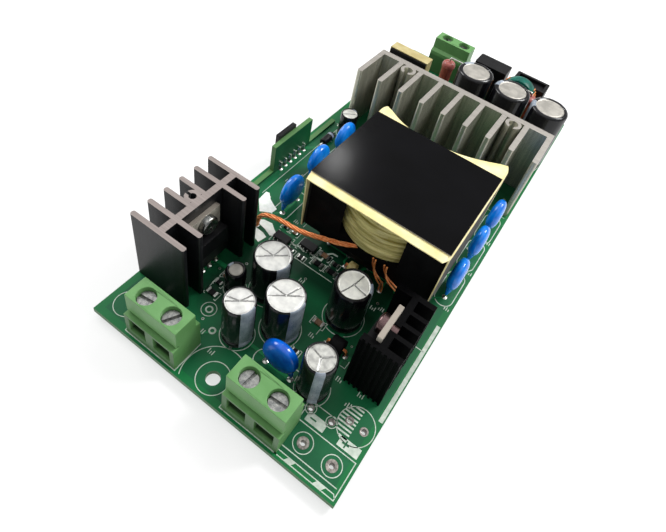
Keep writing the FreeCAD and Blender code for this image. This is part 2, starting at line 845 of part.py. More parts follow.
def tape_round(name, width, height, depth, fold, taper="0"):
    """Tape over the top and down both ends of a core, folded in below it, and narrower there by the taper."""
    body = body_with(name + "_body")
    section = sketch_on(body, "XZ_Plane", name + "_section")
    outer = f"({width} / 2 + tape_thickness)"
    top = f"{height} + tape_thickness"
    outline(section, [
        (f"-{outer}", "-tape_thickness"),
        (f"-{width} / 2 + {fold}", "-tape_thickness"),
        (f"-{width} / 2 + {fold}", "0"),
        (f"-{width} / 2", "0"),
        (f"-{width} / 2", height),
        (f"{width} / 2", height),
        (f"{width} / 2", "0"),
        (f"{width} / 2 - {fold}", "0"),
        (f"{width} / 2 - {fold}", "-tape_thickness"),
        (outer, "-tape_thickness"),
        (outer, top),
        (f"-{outer}", top),
    ])
    pad(body, section, name + "_band", depth, backwards=True)
    if taper != "0":
        sides = sketch_on(body, "YZ_Plane", name + "_taper", outer)
        for end, inward in (("0", taper), (depth, f"{depth} - {taper}")):
            outline(sides, [(end, "-tape_thickness"), (inward, "-tape_thickness"), (end, height)])
        pocket(body, sides, name + "_taper_cut", f"2 * {outer}")
    return body


def transformer_base():
    """Base plate under the core on two rails, with a row of pins in each rail."""
    plate = box("base_plate", "base_width", "base_depth", "base_plate_thickness",
                "-base_width / 2", "-base_depth / 2", "core_bottom - tape_thickness - base_plate_thickness")
    pieces = [plate]
    pins = []
    rail_height = "core_bottom - tape_thickness - base_plate_thickness - base_rail_bottom"
    for side in (-1, 1):
        middle = f"{side} * (base_depth - base_rail_depth) / 2"
        pieces.append(box(f"base_rail_{side + 2}", "base_width", "base_rail_depth", rail_height,
                          "-base_width / 2", f"{middle} - base_rail_depth / 2", "base_rail_bottom"))
        for number in range(-2, 3):
            x = f"{number} * base_pin_pitch"
            pins.append(box(f"base_pin_{side + 2}_{number + 3}", "pin_width", "pin_width",
                            "base_rail_bottom + board_thickness", f"{x} - pin_width / 2",
                            f"{middle} - pin_width / 2", "-board_thickness"))
            drill(f"transformer_x + {x}", f"transformer_y + {middle}", "pin_hole_radius")
    pieces.append(box("base_pedestal", "base_width", "base_rail_depth", "tape_thickness",
                      "-base_width / 2 + tape_return", "-base_rail_depth / 2", "core_bottom - tape_thickness"))
    pieces[-1].setExpression("Length", formula("base_width - 2 * tape_return"))
    seat(union("base_solid", pieces), "transformer_base", "transformer_x", "transformer_y", "0")
    seat(group("base_pins", pins), "transformer_pins", "transformer_x", "transformer_y", "0")


def tube(name, route, radius):
    """Round lead of straight runs joined by tangent arcs, as large as the two runs beside them allow."""
    points = [Vector(*point) for point in route]
    edges = []
    start = points[0]
    for before, corner, after in zip(points, points[1:], points[2:]):
        back = (before - corner).normalize()
        ahead = (after - corner).normalize()
        setback = 0.45 * min((before - corner).Length, (after - corner).Length)
        half_turn = (math.pi - back.getAngle(ahead)) / 2
        arc_radius = setback / math.tan(half_turn)
        middle_way = (back + ahead).normalize()
        centre = corner + middle_way * (arc_radius / math.cos(half_turn))
        enter = corner + back * setback
        leave = corner + ahead * setback
        edges.append(Part.LineSegment(start, enter).toShape())
        edges.append(Part.Arc(enter, centre - middle_way * arc_radius, leave).toShape())
        start = leave
        print(name, "bend radius", round(arc_radius, 1))
    edges.append(Part.LineSegment(start, points[-1]).toShape())
    path = Part.Wire(edges)
    ring = Part.Wire([Part.makeCircle(value(radius), points[0], points[1] - points[0])])
    lead = new("Part::Feature", name)
    lead.Shape = path.makePipeShell([ring], True, True)
    drill(str(route[-1][0]), str(route[-1][1]), f"{radius} + screw_clearance")
    return lead


def can(label, kind, along="x"):
    """Electrolytic capacitor: crimped can with a raised rim round its sunk top, on two wires."""
    radius, height, pitch = (f"{kind}_can_{word}" for word in ("radius", "height", "pitch"))
    body = body_with(label + "_body")
    section = sketch_on(body, "XZ_Plane", label + "_section")
    outline(section, [
        ("0", "0"),
        (radius, "0"),
        (radius, "can_crimp_height - 2 * can_crimp_depth"),
        (f"{radius} - can_crimp_depth", "can_crimp_height"),
        (radius, "can_crimp_height + 2 * can_crimp_depth"),
        (radius, height),
        (f"{radius} - can_rim_width", height),
        (f"{radius} - can_rim_width", f"{height} - can_rim_height"),
        ("0", f"{height} - can_rim_height"),
    ])
    revolve(body, section, label + "_turned")
    top = value(height)
    outer = value(radius)
    round_edges(body, label + "_rolled_rim", "can_edge_radius",
                lambda edge: edge.BoundBox.ZMin > top - 0.01 and edge.BoundBox.XLength > 2 * outer - 0.01)
    pieces = [body]
    for side in (-1, 1):
        offset = f"{side} * {pitch} / 2"
        x, y = (offset, "0") if along == "x" else ("0", offset)
        pieces.append(wire(f"{label}_wire_{side + 2}", x, y, "0", "-board_thickness"))
        drill(f"{label}_x + {x}", f"{label}_y + {y}")
    seat(union(label + "_solid", pieces), label, f"{label}_x", f"{label}_y", "0")


def disc(label, kind="", along="y"):
    """Ceramic disc capacitor standing on edge, with its dipped coat and two wires as one piece."""
    radius = kind + "disc_radius"
    thickness = kind + "disc_thickness"
    axis = (Vector(0, 1, 0), 90) if along == "y" else (Vector(1, 0, 0), 90)
    body = body_with(label + "_body")
    section = sketch_on(body, "XZ_Plane", label + "_section")
    rectangle(section, "0", f"-{thickness} / 2", radius, f"{thickness} / 2")
    revolve(body, section, label + "_turned")
    round_edges(body, label + "_rounded", "disc_edge_radius", lambda edge: edge.BoundBox.XLength > value(radius))
    move(body, "0", "0", "0", axis)
    pieces = [body]
    for side in (-1, 1):
        offset = f"{side} * disc_lead_pitch / 2"
        x, y = ("0", offset) if along == "y" else (offset, "0")
        pieces.append(wire(f"{label}_wire_{side + 2}", x, y, "0", "-disc_centre_height - board_thickness"))
        drill(f"{label}_x + {x}", f"{label}_y + {y}")
    seat(union(label + "_solid", pieces), label, f"{label}_x", f"{label}_y", "disc_centre_height")


def daughter_board():
    """Stepped board standing on its long foot, with a component on its outer face and pins inside."""
    card = body_with("card")
    steps = sketch_on(card, "YZ_Plane", "card_steps")
    outline(steps, [
        ("-daughter_foot_front", "0"),
        ("daughter_board_length + daughter_foot_back", "0"),
        ("daughter_board_length + daughter_foot_back", "daughter_foot_height"),
        ("daughter_board_length", "daughter_foot_height"),
        ("daughter_board_length", "daughter_board_height"),
        ("0", "daughter_board_height"),
        ("0", "daughter_foot_height"),
        ("-daughter_foot_front", "daughter_foot_height"),
    ])
    pad(card, steps, "card_sheet", "board_thickness")
    seat(card, "daughter_board", "daughter_board_side", "daughter_board_front", "0")
    chip = box("card_chip", "daughter_chip_thickness", "daughter_chip_length", "daughter_chip_height")
    seat(chip, "daughter_component", "daughter_board_side - daughter_chip_thickness",
         "daughter_board_front + daughter_board_length / 2 - daughter_chip_length * 0.7",
         "daughter_chip_bottom")
    pins = []
    for number in range(6):
        y = f"(daughter_board_length - 5 * daughter_pin_pitch) / 2 + {number} * daughter_pin_pitch"
        pins.append(box(f"card_pin_{number + 1}", "daughter_pin_width", "daughter_pin_width",
                        "daughter_pin_height + board_thickness", "0", f"{y} - daughter_pin_width / 2",
                        "-board_thickness"))
        drill("daughter_board_side + board_thickness + daughter_pin_width / 2",
              f"daughter_board_front + {y}", "wire_hole_radius")
    seat(group("card_pins", pins), "daughter_pins", "daughter_board_side + board_thickness",
         "daughter_board_front", "0")


def line_choke():
    """Small upright choke: base with four pins, core, and tape that leaves the front edge bare."""
    pieces = [box("line_base_block", "line_choke_length", "line_choke_depth",
                  "line_choke_base - tape_thickness", "-line_choke_length / 2", "-line_choke_depth / 2", "0")]
    pieces.append(box("line_base_pedestal", "line_choke_length - 4 * tape_thickness", "line_choke_depth",
                      "tape_thickness", "-line_choke_length / 2 + 2 * tape_thickness",
                      "-line_choke_depth / 2", "line_choke_base - tape_thickness"))
    for across in (-1, 1):
        for deep in (-1, 1):
            x = f"{across} * (line_choke_length / 2 - 2 * pin_width)"
            y = f"{deep} * (line_choke_depth / 2 - pin_width)"
            pieces.append(wire(f"line_pin_{across + 2}_{deep + 2}", x, y, "0", "-board_thickness"))
            drill(f"line_choke_x + {x}", f"line_choke_y + {y}")
    seat(union("line_base_solid", pieces), "line_choke_base_block", "line_choke_x", "line_choke_y", "0")
    core_height = "(line_choke_height - line_choke_base)"
    core = box("line_core", "line_choke_length", "line_choke_depth", core_height)
    seat(core, "line_choke_core", "line_choke_x - line_choke_length / 2",
         "line_choke_y - line_choke_depth / 2", "line_choke_base")
    band = tape_round("line_tape", "line_choke_length", core_height,
                      "line_choke_depth - line_choke_bare_edge", "2 * tape_thickness")
    seat(band, "line_choke_tape", "line_choke_x",
         "line_choke_y - line_choke_depth / 2 + line_choke_bare_edge", "line_choke_base")


def filter_box(label, recess):
    """Potted rectangular part on two wires; the other one has a sunk field and a ledge for the wound ring."""
    body = body_with(label + "_body")
    base = sketch_on(body, "XY_Plane", label + "_outline")
    rectangle(base, "-box_width / 2", "-box_depth / 2", "box_width / 2", "box_depth / 2")
    pad(body, base, label + "_block", "box_height")
    corners = (value("-box_width / 2"), value("box_width / 2"))
    round_edges(body, label + "_rounded", "box_edge_radius", lambda edge: upright_at(edge, *corners))
    if recess:
        field = sketch_on(body, "XY_Plane", label + "_field", "box_height")
        rectangle(field, "-box_width / 2 + frame_recess", "-box_depth / 2 + frame_recess",
                  "box_width / 2 - frame_recess", "box_depth / 2 - frame_recess")
        pocket(body, field, label + "_field_cut", "frame_recess")
    pieces = [body]
    if recess:
        pieces.append(box(label + "_ledge", "toroid_ledge_width", "toroid_thickness", "toroid_lift - screw_clearance / 5",
                          f"toroid_x - {label}_x - toroid_ledge_width / 2", "-box_depth / 2 - toroid_thickness"))
    for side in (-1, 1):
        x = f"{side} * (box_width / 2 - frame_recess)"
        pieces.append(wire(f"{label}_wire_{side + 2}", x, "0", "0", "-board_thickness"))
        drill(f"{label}_x + {x}", f"{label}_y")
    seat(union(label + "_solid", pieces), label, f"{label}_x", f"{label}_y", "0")


def toroid():
    """Wound ring standing on its edge, on two wires."""
    middle = "(toroid_radius + toroid_lift)"
    body = body_with("toroid_body")
    section = sketch_on(body, "XZ_Plane", "toroid_section")
    rectangle(section, "toroid_hole_radius", "-toroid_thickness / 2", "toroid_radius", "toroid_thickness / 2")
    revolve(body, section, "toroid_turned")
    round_edges(body, "toroid_rounded", "toroid_thickness * 0.25",
                lambda edge: edge.BoundBox.XLength > value("toroid_radius"))
    move(body, "0", "0", middle, (Vector(1, 0, 0), 90))
    pieces = [body]
    for side in (-1, 1):
        x = f"{side} * toroid_radius * 0.6"
        pieces.append(wire(f"toroid_wire_{side + 2}", x, "0", middle + " - toroid_radius * 0.7",
                           "-board_thickness"))
        drill(f"toroid_x + {x}", "toroid_y")
    seat(union("toroid_solid", pieces), "storage_toroid", "toroid_x", "toroid_y", "0")


def upright_part(which, sign):
    """Body on end, and the wire that runs down to the board at its foot and loops over beside it."""
    body = cylinder(which + "_upright_rod", "upright_radius", "upright_length")
    seat(body, which + "_upright_resistor", f"{which}_upright_x", f"{which}_upright_y", "upright_lift")
    side = f"{sign} * upright_loop_pitch"
    foot = wire(f"{which}_foot", "0", "0", "upright_lift", "-board_thickness")
    rise = wire(f"{which}_rise", "0", "0", "upright_lift + upright_length + upright_loop_rise",
                "upright_lift + upright_length")
    drop = wire(f"{which}_drop", side, "0", "upright_lift + upright_length + upright_loop_rise",
                "-board_thickness")
    over = box(f"{which}_over", "upright_loop_pitch + 2 * wire_radius", "wire_radius * 1.7",
               "wire_radius * 1.7", f"{side} / 2 - upright_loop_pitch / 2 - wire_radius",
               "-wire_radius * 0.85", "upright_lift + upright_length + upright_loop_rise - wire_radius")
    for x in ("0", side):
        drill(f"{which}_upright_x + {x}", f"{which}_upright_y")
    loop = union(f"{which}_loop", [rise, over, drop])
    return [move(item, f"{which}_upright_x", f"{which}_upright_y", height)
            for item, height in ((foot, "-board_thickness"), (loop, "0"))]


def bead(label, kind, leads):
    """Ferrite bead lying along the board, on the wire that passes through it."""
    radius, hole, length = (f"{kind}bead_{word}" for word in ("radius", "hole_radius", "length"))
    lying = (Vector(0, 1, 0), 90)
    rod = cylinder(label + "_rod", radius, length)
    bore = cylinder(label + "_bore", hole, length)
    seat(cut(label + "_ring", rod, bore), label, f"{label}_x - {length} / 2", f"{label}_y", radius, lying)
    reach = f"{length} / 2 + 3 * wire_radius"
    through = cylinder(label + "_through", "wire_radius", f"2 * ({reach})", f"-({reach})", "0", radius, lying)
    pieces = [through]
    for side in (-1, 1):
        x = f"{side} * ({reach})"
        pieces.append(wire(f"{label}_leg_{side + 2}", x, "0", f"{radius} + wire_radius", "-board_thickness"))
        drill(f"{label}_x + {x}", f"{label}_y")
    leads.append(move(union(label + "_lead", pieces), f"{label}_x", f"{label}_y", "0"))


def diode():
    """Axial diode lying low on bent wires."""
    lying = (Vector(1, 0, 0), -90)
    rod = cylinder("diode_rod", "diode_radius", "diode_length", "0", "-diode_length / 2", "diode_radius", lying)
    axis = cylinder("diode_axis", "wire_radius", "diode_lead_pitch",
                    "0", "-diode_lead_pitch / 2", "diode_radius", lying)
    pieces = [rod, axis]
    for side in (-1, 1):
        y = f"{side} * diode_lead_pitch / 2"
        pieces.append(wire(f"diode_leg_{side + 2}", "0", y, "diode_radius + wire_radius", "-board_thickness"))
        drill("diode_x", f"diode_y + {y}")
    seat(union("diode_solid", pieces), "start_diode", "diode_x", "diode_y", "0")


def surface_parts():
    """Chips soldered flat on the board."""
    chips = []
    for number, (kind, x, y) in enumerate(SURFACE_PARTS, start=1):
        height = "package_chip_height" if kind == "package_chip" else "chip_height"
        chips.append(box(f"chip_{number}", kind + "_length", kind + "_width", height, x, y))
    seat(group("chip_group", chips), "surface_parts", "0", "0", "0")


def solder_joints():
    """Eight-sided solder cones under the board, one below each soldered hole."""
    def ring(x, y, radius, z):
        corners = [Vector(x + radius * math.cos(n * math.pi / 4), y + radius * math.sin(n * math.pi / 4), z)
                   for n in range(9)]
        return Part.makePolygon(corners)
    foot = value("solder_foot_radius")
    tip = value("solder_tip_radius")
    height = value("solder_height")
    cones = []
    for x, y, radius in drilled:
        place = value(x), value(y)
        cones.append(Part.makeLoft([ring(*place, tip, 0), ring(*place, foot, height)], True, True))
    joints = new("Part::Feature", "solder_joints_solids")
    joints.Shape = Part.makeCompound(cones)
    seat(joints, "solder_joints", "0", "0", "-board_thickness - solder_height")


def main_board():
    """Board with its mounting holes, the soldered holes and the empty holes of unused places."""
    body = body_with("main_board_body")
    plate = sketch_on(body, "XY_Plane", "main_board_outline")
    rectangle(plate, "0", "0", "board_width", "board_length")
    for y in ("mounting_hole_inset", "board_length - mounting_hole_inset"):
        circle(plate, "board_width / 2 - 1.6", y, "mounting_hole_diameter / 2")
    for name in ("empty_pad_1", "empty_pad_2", "pill_pad_1", "pill_pad_2", "round_pad_1", "round_pad_2"):
        circle(plate, name + "_x", name + "_y", "footprint_hole_diameter / 2")
    for x, y, radius in drilled:
        circle(plate, x, y, radius)
    pad(body, plate, "main_board_plate", "board_thickness")
    seat(body, "main_board", "0", "0", "-board_thickness")


def build():
    """All sub-parts, the board last because the others decide its holes."""
    fill_sheet()
    for block in BLOCKS:
        terminal_housing(block)
    terminal_metal()
    output_heatsink()
    input_heatsink()
    side_heatsink()
    for which in TRANSISTORS:
        transistor(which)
    screws = [fixing_screw(which) for which in TRANSISTORS]
    seat(group("fixing_screw_group", screws), "fixing_screws", "0", "0", "0")
    core_half("transformer_core_lower", False)
    core_half("transformer_core_upper", True)
    spool_and_winding()
    core_height = "(2 * core_half_height)"
    band = tape_round("core_tape", "core_width", core_height, "tape_width", "tape_return", "tape_taper")
    seat(band, "transformer_tape", "transformer_x", "transformer_y - tape_width / 2", "core_bottom")
    label = box("label_plate", "label_width", "label_depth", "label_thickness")
    seat(label, "transformer_label", "transformer_x - label_width / 2", "transformer_y - label_depth / 2",
         f"core_bottom + {core_height} + tape_thickness")
    transformer_base()
    long_lead = tube("long_litz", LONG_LITZ, "long_litz_radius")
    seat(long_lead, "long_winding_lead", "0", "0", "0")
    short_leads = [tube("short_litz_1", SHORT_LITZ_1, "short_litz_radius"),
                   tube("short_litz_2", SHORT_LITZ_2, "short_litz_radius")]
    seat(group("short_litz", short_leads), "short_winding_leads", "0", "0", "0")
    can("output_capacitor_1", "small")
    can("output_capacitor_2", "medium")
    can("output_capacitor_3", "medium")
    can("output_capacitor_4", "medium")
    can("output_capacitor_5", "small")
    can("output_capacitor_6", "tiny")
    can("start_capacitor", "start", "y")
    for number in (1, 2, 3):
        can(f"input_capacitor_{number}", "large", "y")
    for side in ("left", "right"):
        for number in (1, 2, 3):
            disc(f"{side}_disc_{number}")
    disc("output_disc", "wide_", "x")
    daughter_board()
    line_choke()
    filter_box("filter_box", False)
    filter_box("choke_frame", True)
    toroid()
    loops = upright_part("front", 1) + upright_part("rear", -1)
    seat(group("upright_loops", loops), "upright_leads", "0", "0", "0")
    leads = []
    bead("bead", "", leads)
    bead("small_bead", "small_", leads)
    seat(group("bead_wires", leads), "bead_leads", "0", "0", "0")
    diode()
    surface_parts()
    solder_joints()
    main_board()
    document.recompute()


def check():
    """Stop before anything is written if a feature or a solid is faulty."""
    for item in document.Objects:
        if "Invalid" in item.State or "Error" in item.State:
            raise ValueError(f"{item.Name} failed")
    for item in parts:
        if item.Shape.isNull() or not item.Shape.isValid() or not item.Shape.Solids:
            raise ValueError(f"{item.Label} has no valid solid")


def write():
    """One file per sub-part, named by its label."""
    os.makedirs("parts", exist_ok=True)
    for item in parts:
        item.Shape.exportStep(f"parts/{item.Label}.step")
    print(len(parts), "sub-parts,", len(drilled), "soldered holes")


build()
check()
write()
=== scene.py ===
import math
import random

import bmesh
import bpy
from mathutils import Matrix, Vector


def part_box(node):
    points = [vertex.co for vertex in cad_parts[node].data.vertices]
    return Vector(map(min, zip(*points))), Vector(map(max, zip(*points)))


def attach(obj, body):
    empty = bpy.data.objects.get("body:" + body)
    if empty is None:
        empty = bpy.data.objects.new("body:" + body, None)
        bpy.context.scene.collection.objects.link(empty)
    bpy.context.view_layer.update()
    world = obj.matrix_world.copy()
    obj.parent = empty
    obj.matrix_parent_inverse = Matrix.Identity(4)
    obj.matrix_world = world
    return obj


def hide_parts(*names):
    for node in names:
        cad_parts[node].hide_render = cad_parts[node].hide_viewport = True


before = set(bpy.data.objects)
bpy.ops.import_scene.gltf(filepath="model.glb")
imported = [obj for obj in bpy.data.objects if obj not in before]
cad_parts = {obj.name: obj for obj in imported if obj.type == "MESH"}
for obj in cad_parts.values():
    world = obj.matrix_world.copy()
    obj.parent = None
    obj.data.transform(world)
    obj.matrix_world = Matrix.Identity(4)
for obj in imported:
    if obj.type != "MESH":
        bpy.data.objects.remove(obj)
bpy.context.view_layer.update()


# Camera, floor and lamps: the lens looks down on the output end from its right-hand corner, tilted as in
# the picture. The floor is a plain white sheet under soft lamps.

def hue(red, green, blue):
    """A colour counted from 0 to 255, as a shader takes it."""
    shares = (red / 255, green / 255, blue / 255)
    return tuple(s / 12.92 if s <= 0.04045 else ((s + 0.055) / 1.055) ** 2.4 for s in shares) + (1.0,)


def add(tree, kind, wires=(), **settings):
    """One node, with its settings and with what is wired or dialled into its sockets."""
    node = tree.nodes.new(kind)
    for name, setting in settings.items():
        setattr(node, name, setting)
    for name, source in dict(wires).items():
        if isinstance(source, bpy.types.NodeSocket):
            tree.links.new(source, node.inputs[name])
        else:
            node.inputs[name].default_value = source
    return node


def stand(name, data):
    """A new object in the scene."""
    thing = bpy.data.objects.new(name, data)
    bpy.context.collection.objects.link(thing)
    return thing


CAMERA_PLACE = (0.036435, -0.122616, 0.130177)
CAMERA_TURN = (44.7108, -9.7708, 33.8406)
FOCAL_LENGTH = 29.166
FRAME_SHIFT = (-0.0118, -0.1363)


def stand_camera():
    """The camera, solved from the board's corners and the round cans of the photograph."""
    lens = bpy.data.cameras.new("lens")
    lens.sensor_width, lens.lens = 36, FOCAL_LENGTH
    lens.clip_start, lens.clip_end = 0.005, 10
    lens.shift_x, lens.shift_y = FRAME_SHIFT
    camera = stand("camera", lens)
    camera.location = CAMERA_PLACE
    camera.rotation_euler = [math.radians(angle) for angle in CAMERA_TURN]
    bpy.context.scene.camera = camera


def lay_floor():
    """A wide sheet of matt white paper."""
    sheet = bpy.data.meshes.new("floor")
    far = 1.5
    sheet.from_pydata([(-far, -far, 0), (far, -far, 0), (far, far, 0), (-far, far, 0)], [], [(0, 1, 2, 3)])
    paper = bpy.data.materials.new("white_paper")
    paper.use_nodes = True
    tree = paper.node_tree
    shader = tree.nodes["Principled BSDF"]
    fibres = add(tree, "ShaderNodeTexNoise", {"Scale": 40.0})
    tone = add(tree, "ShaderNodeMapRange", {"Value": fibres.outputs[0], "To Min": 0.34, "To Max": 0.36})
    tree.links.new(tone.outputs[0], shader.inputs["Base Color"])
    for socket, setting in (("Emission Color", (1, 1, 1, 1)), ("Emission Strength", 0.62), ("Roughness", 1.0),
                            ("Specular IOR Level", 0.0)):
        shader.inputs[socket].default_value = setting
    sheet.materials.append(paper)
    stand("floor", sheet)


TENT_GLOW = ((0.14, 0.7), (0.26, 0.1), (1.0, 1.0))
SOFTBOXES = (((0.24, 0.30, 0.46), 0.20, 3.0), ((-0.46, 0.02, 0.34), 0.24, 1.6),
             ((-0.195, 0.366, 0.445), 0.024, 0.2))


def hang_lamps():
    """A tent, bright overhead and pale round the floor but dim between, two softboxes and a small lamp."""
    world = bpy.data.worlds.new("tent")
    world.use_nodes = True
    tree = world.node_tree
    sky = add(tree, "ShaderNodeSeparateXYZ", {0: add(tree, "ShaderNodeTexCoord").outputs["Generated"]})
    glow = add(tree, "ShaderNodeValToRGB", {"Fac": sky.outputs[2]})
    stops = glow.color_ramp.elements
    stops.new(0.5)
    for stop, (spot, share) in zip(stops, TENT_GLOW):
        stop.position, stop.color = spot, (share, share, share, 1.0)
    tree.links.new(glow.outputs[0], tree.nodes["Background"].inputs["Color"])
    tree.nodes["Background"].inputs["Strength"].default_value = 1.3
    bpy.context.scene.world = world
    aim = Vector((0, 0, 0.01))
    for place, size, power in SOFTBOXES:
        light = bpy.data.lights.new("softbox", "AREA")
        light.size, light.energy = size, power
        lamp = stand("softbox", light)
        lamp.location = place
        lamp.rotation_euler = (aim - Vector(place)).to_track_quat("-Z", "Y").to_euler()
    bpy.context.scene.view_settings.view_transform = "Standard"


stand_camera()
lay_floor()
hang_lamps()


# Circuit board: a glass-fibre board with dark green solder mask over copper, and the pale edge of the
# laminate round it. It was etched, masked and then cut out.

MM = 0.001
board_low, board_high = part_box("main_board")


def at(x, y, z=0.0):
    """A place in millimetres from the board's front left corner and its upper face."""
    return Vector((board_low.x + x * MM, board_low.y + y * MM, board_high.z + z * MM))


class Finish:
    """A material under way: its colour drifts between two tones, and its gloss has a fine grain."""

    def __init__(self, name, dark, light, drift=4.0, grain=0.4, stretch=(1, 1, 1), rough=(0.4, 0.6),
                 depth=0.01, **shader_settings):
        self.material = bpy.data.materials.new(name)
        self.material.use_nodes = True
        self.tree = self.material.node_tree
        self.shader = self.tree.nodes["Principled BSDF"]
        for socket, setting in shader_settings.items():
            self.shader.inputs[socket.replace("_", " ")].default_value = setting
        self.place = self.node("ShaderNodeTexCoord").outputs["Object"]
        scaled = self.node("ShaderNodeMapping", {"Vector": self.place, "Scale": stretch}).outputs[0]
        patches = self.clouds(scaled, 1 / (drift * MM), 4.0)
        fine = self.clouds(scaled, 1 / (grain * MM), 2.0)
        self.tint(self.tones(patches, (0.35, hue(*dark)), (0.65, hue(*light))))
        self.gloss(self.scale(fine, 0.3, 0.7, *rough))
        bumps = self.node("ShaderNodeBump", {"Strength": 1.0, "Height": fine, "Distance": depth * MM})
        self.tree.links.new(bumps.outputs[0], self.shader.inputs["Normal"])

    def node(self, kind, wires=(), **settings):
        return add(self.tree, kind, wires, **settings)

    def clouds(self, where, scale, detail):
        """Soft random patches."""
        return self.node("ShaderNodeTexNoise", {"Vector": where, "Scale": scale, "Detail": detail}).outputs[0]

    def tones(self, share, *stops):
        """Colours picked along a scale."""
        ramp = self.node("ShaderNodeValToRGB", {"Fac": share})
        for number, (spot, colour) in enumerate(stops):
            element = ramp.color_ramp.elements[number] if number < 2 else ramp.color_ramp.elements.new(spot)
            element.position, element.color = spot, colour
        return ramp.outputs[0]

    def scale(self, value, low, high, to_low=0.0, to_high=1.0):
        """A value between two others, counted anew, from 0 to 1 unless said otherwise."""
        return self.node("ShaderNodeMapRange", {"Value": value, "From Min": low, "From Max": high,
                                                "To Min": to_low, "To Max": to_high}).outputs[0]

    def both(self, one, other, operation="MULTIPLY"):
        """The share of the surface where two shares meet."""
        return self.node("ShaderNodeMath", {0: one, 1: other}, operation=operation).outputs[0]

    def edge_on(self, axis):
        """1 where the surface faces neither way along an axis: the cut edge of a sheet."""
        return self.both(self.facing(axis, 0.5, 0.3), self.facing(axis, -0.5, -0.3))

    def tint(self, colour):
        self.colour = colour
        self.tree.links.new(colour, self.shader.inputs["Base Color"])

    def cover(self, share, colour):
        """Lays another colour over part of the surface."""
        over = colour if isinstance(colour, bpy.types.NodeSocket) else hue(*colour)
        mix = self.node("ShaderNodeMix", {0: share, 6: self.colour, 7: over}, data_type="RGBA")
        self.tint(mix.outputs[2])

    def gloss(self, rough):
        """How matt the surface is."""
        self.rough = rough
        self.tree.links.new(rough, self.shader.inputs["Roughness"])

    def cover_gloss(self, share, roughness):
        self.gloss(self.node("ShaderNodeMix", {0: share, 2: self.rough, 3: roughness}).outputs[0])

    def facing(self, axis, low=0.6, high=0.9):
        """How far the surface faces along an axis: 0 is X, 1 is Y and 2 is Z."""
        normal = self.node("ShaderNodeNewGeometry").outputs["Normal"]
        return self.scale(self.node("ShaderNodeSeparateXYZ", {0: normal}).outputs[axis], low, high)

    def where(self, axis, low, high):
        """0 below one place along an axis and 1 above another, in metres."""
        return self.scale(self.node("ShaderNodeSeparateXYZ", {0: self.place}).outputs[axis], low, high)


WELD, CRISP = 0.001 * MM, 35


def round_edges(piece, edge, segments=2):
    """Small roundings of the crisp corners, their width in millimetres."""
    rounding = piece.modifiers.new("rounding", "BEVEL")
    rounding.width, rounding.segments = edge * MM, segments
    rounding.limit_method, rounding.angle_limit = "ANGLE", math.radians(CRISP)
    rounding.harden_normals = True


def dress(node, finish, edge=0.0, segments=2):
    """Gives a CAD node its finish and, where it has crisp corners, a small rounding of them."""
    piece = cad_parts[node]
    piece.data.materials.clear()
    piece.data.materials.append(finish.material)
    if edge:
        piece.modifiers.new("weld", "WELD").merge_threshold = WELD
        round_edges(piece, edge, segments)


mask_green = Finish("solder_mask", (14, 82, 50), (20, 96, 58), drift=12.0, grain=0.25,
                    rough=(0.34, 0.42), depth=0.003, Specular_IOR_Level=0.18)
pours = mask_green.node("ShaderNodeTexVoronoi", {"Vector": mask_green.place, "Scale": 60.0},
                        distance="CHEBYCHEV", feature="F1")
copper_areas = mask_green.node("ShaderNodeSeparateColor", {0: pours.outputs["Color"]}).outputs[0]
mask_green.cover(mask_green.scale(copper_areas, 0.52, 0.53), (18, 90, 54))
MARGIN, BLUR = 1.9 * MM, 0.01 * MM
for axis in (0, 1):
    for start, outward in ((board_low[axis] + MARGIN, -BLUR), (board_high[axis] - MARGIN, BLUR)):
        mask_green.cover(mask_green.where(axis, start, start + outward), (16, 102, 54))
# Painted shade: two areas of the board among the output cans, the chips and the transformer are painted
# near-black green, as if in the shadow of the parts round them.
for x0, x1, y0, y1, share in ((24, 62, 37, 58, 0.8), (12, 31, 18, 42, 0.7)):
    painted_shade_near_parts = share
    for axis, edge, inward in ((0, x0, 5), (0, x1, -5), (1, y0, 5), (1, y1, -3)):
        start, end = at(edge, edge)[axis], at(edge + inward, edge + inward)[axis]
        painted_shade_near_parts = mask_green.both(mask_green.where(axis, start, end), painted_shade_near_parts)
    mask_green.cover(painted_shade_near_parts, (4, 32, 20))
mask_green.cover(mask_green.edge_on(2), (52, 96, 50))
dress("main_board", mask_green)


# Solder joints, pads and through-plated holes: every lead is soldered below the board. Small tinned rings
# lie round the leads on the upper face, and fine tinned holes join both copper layers.

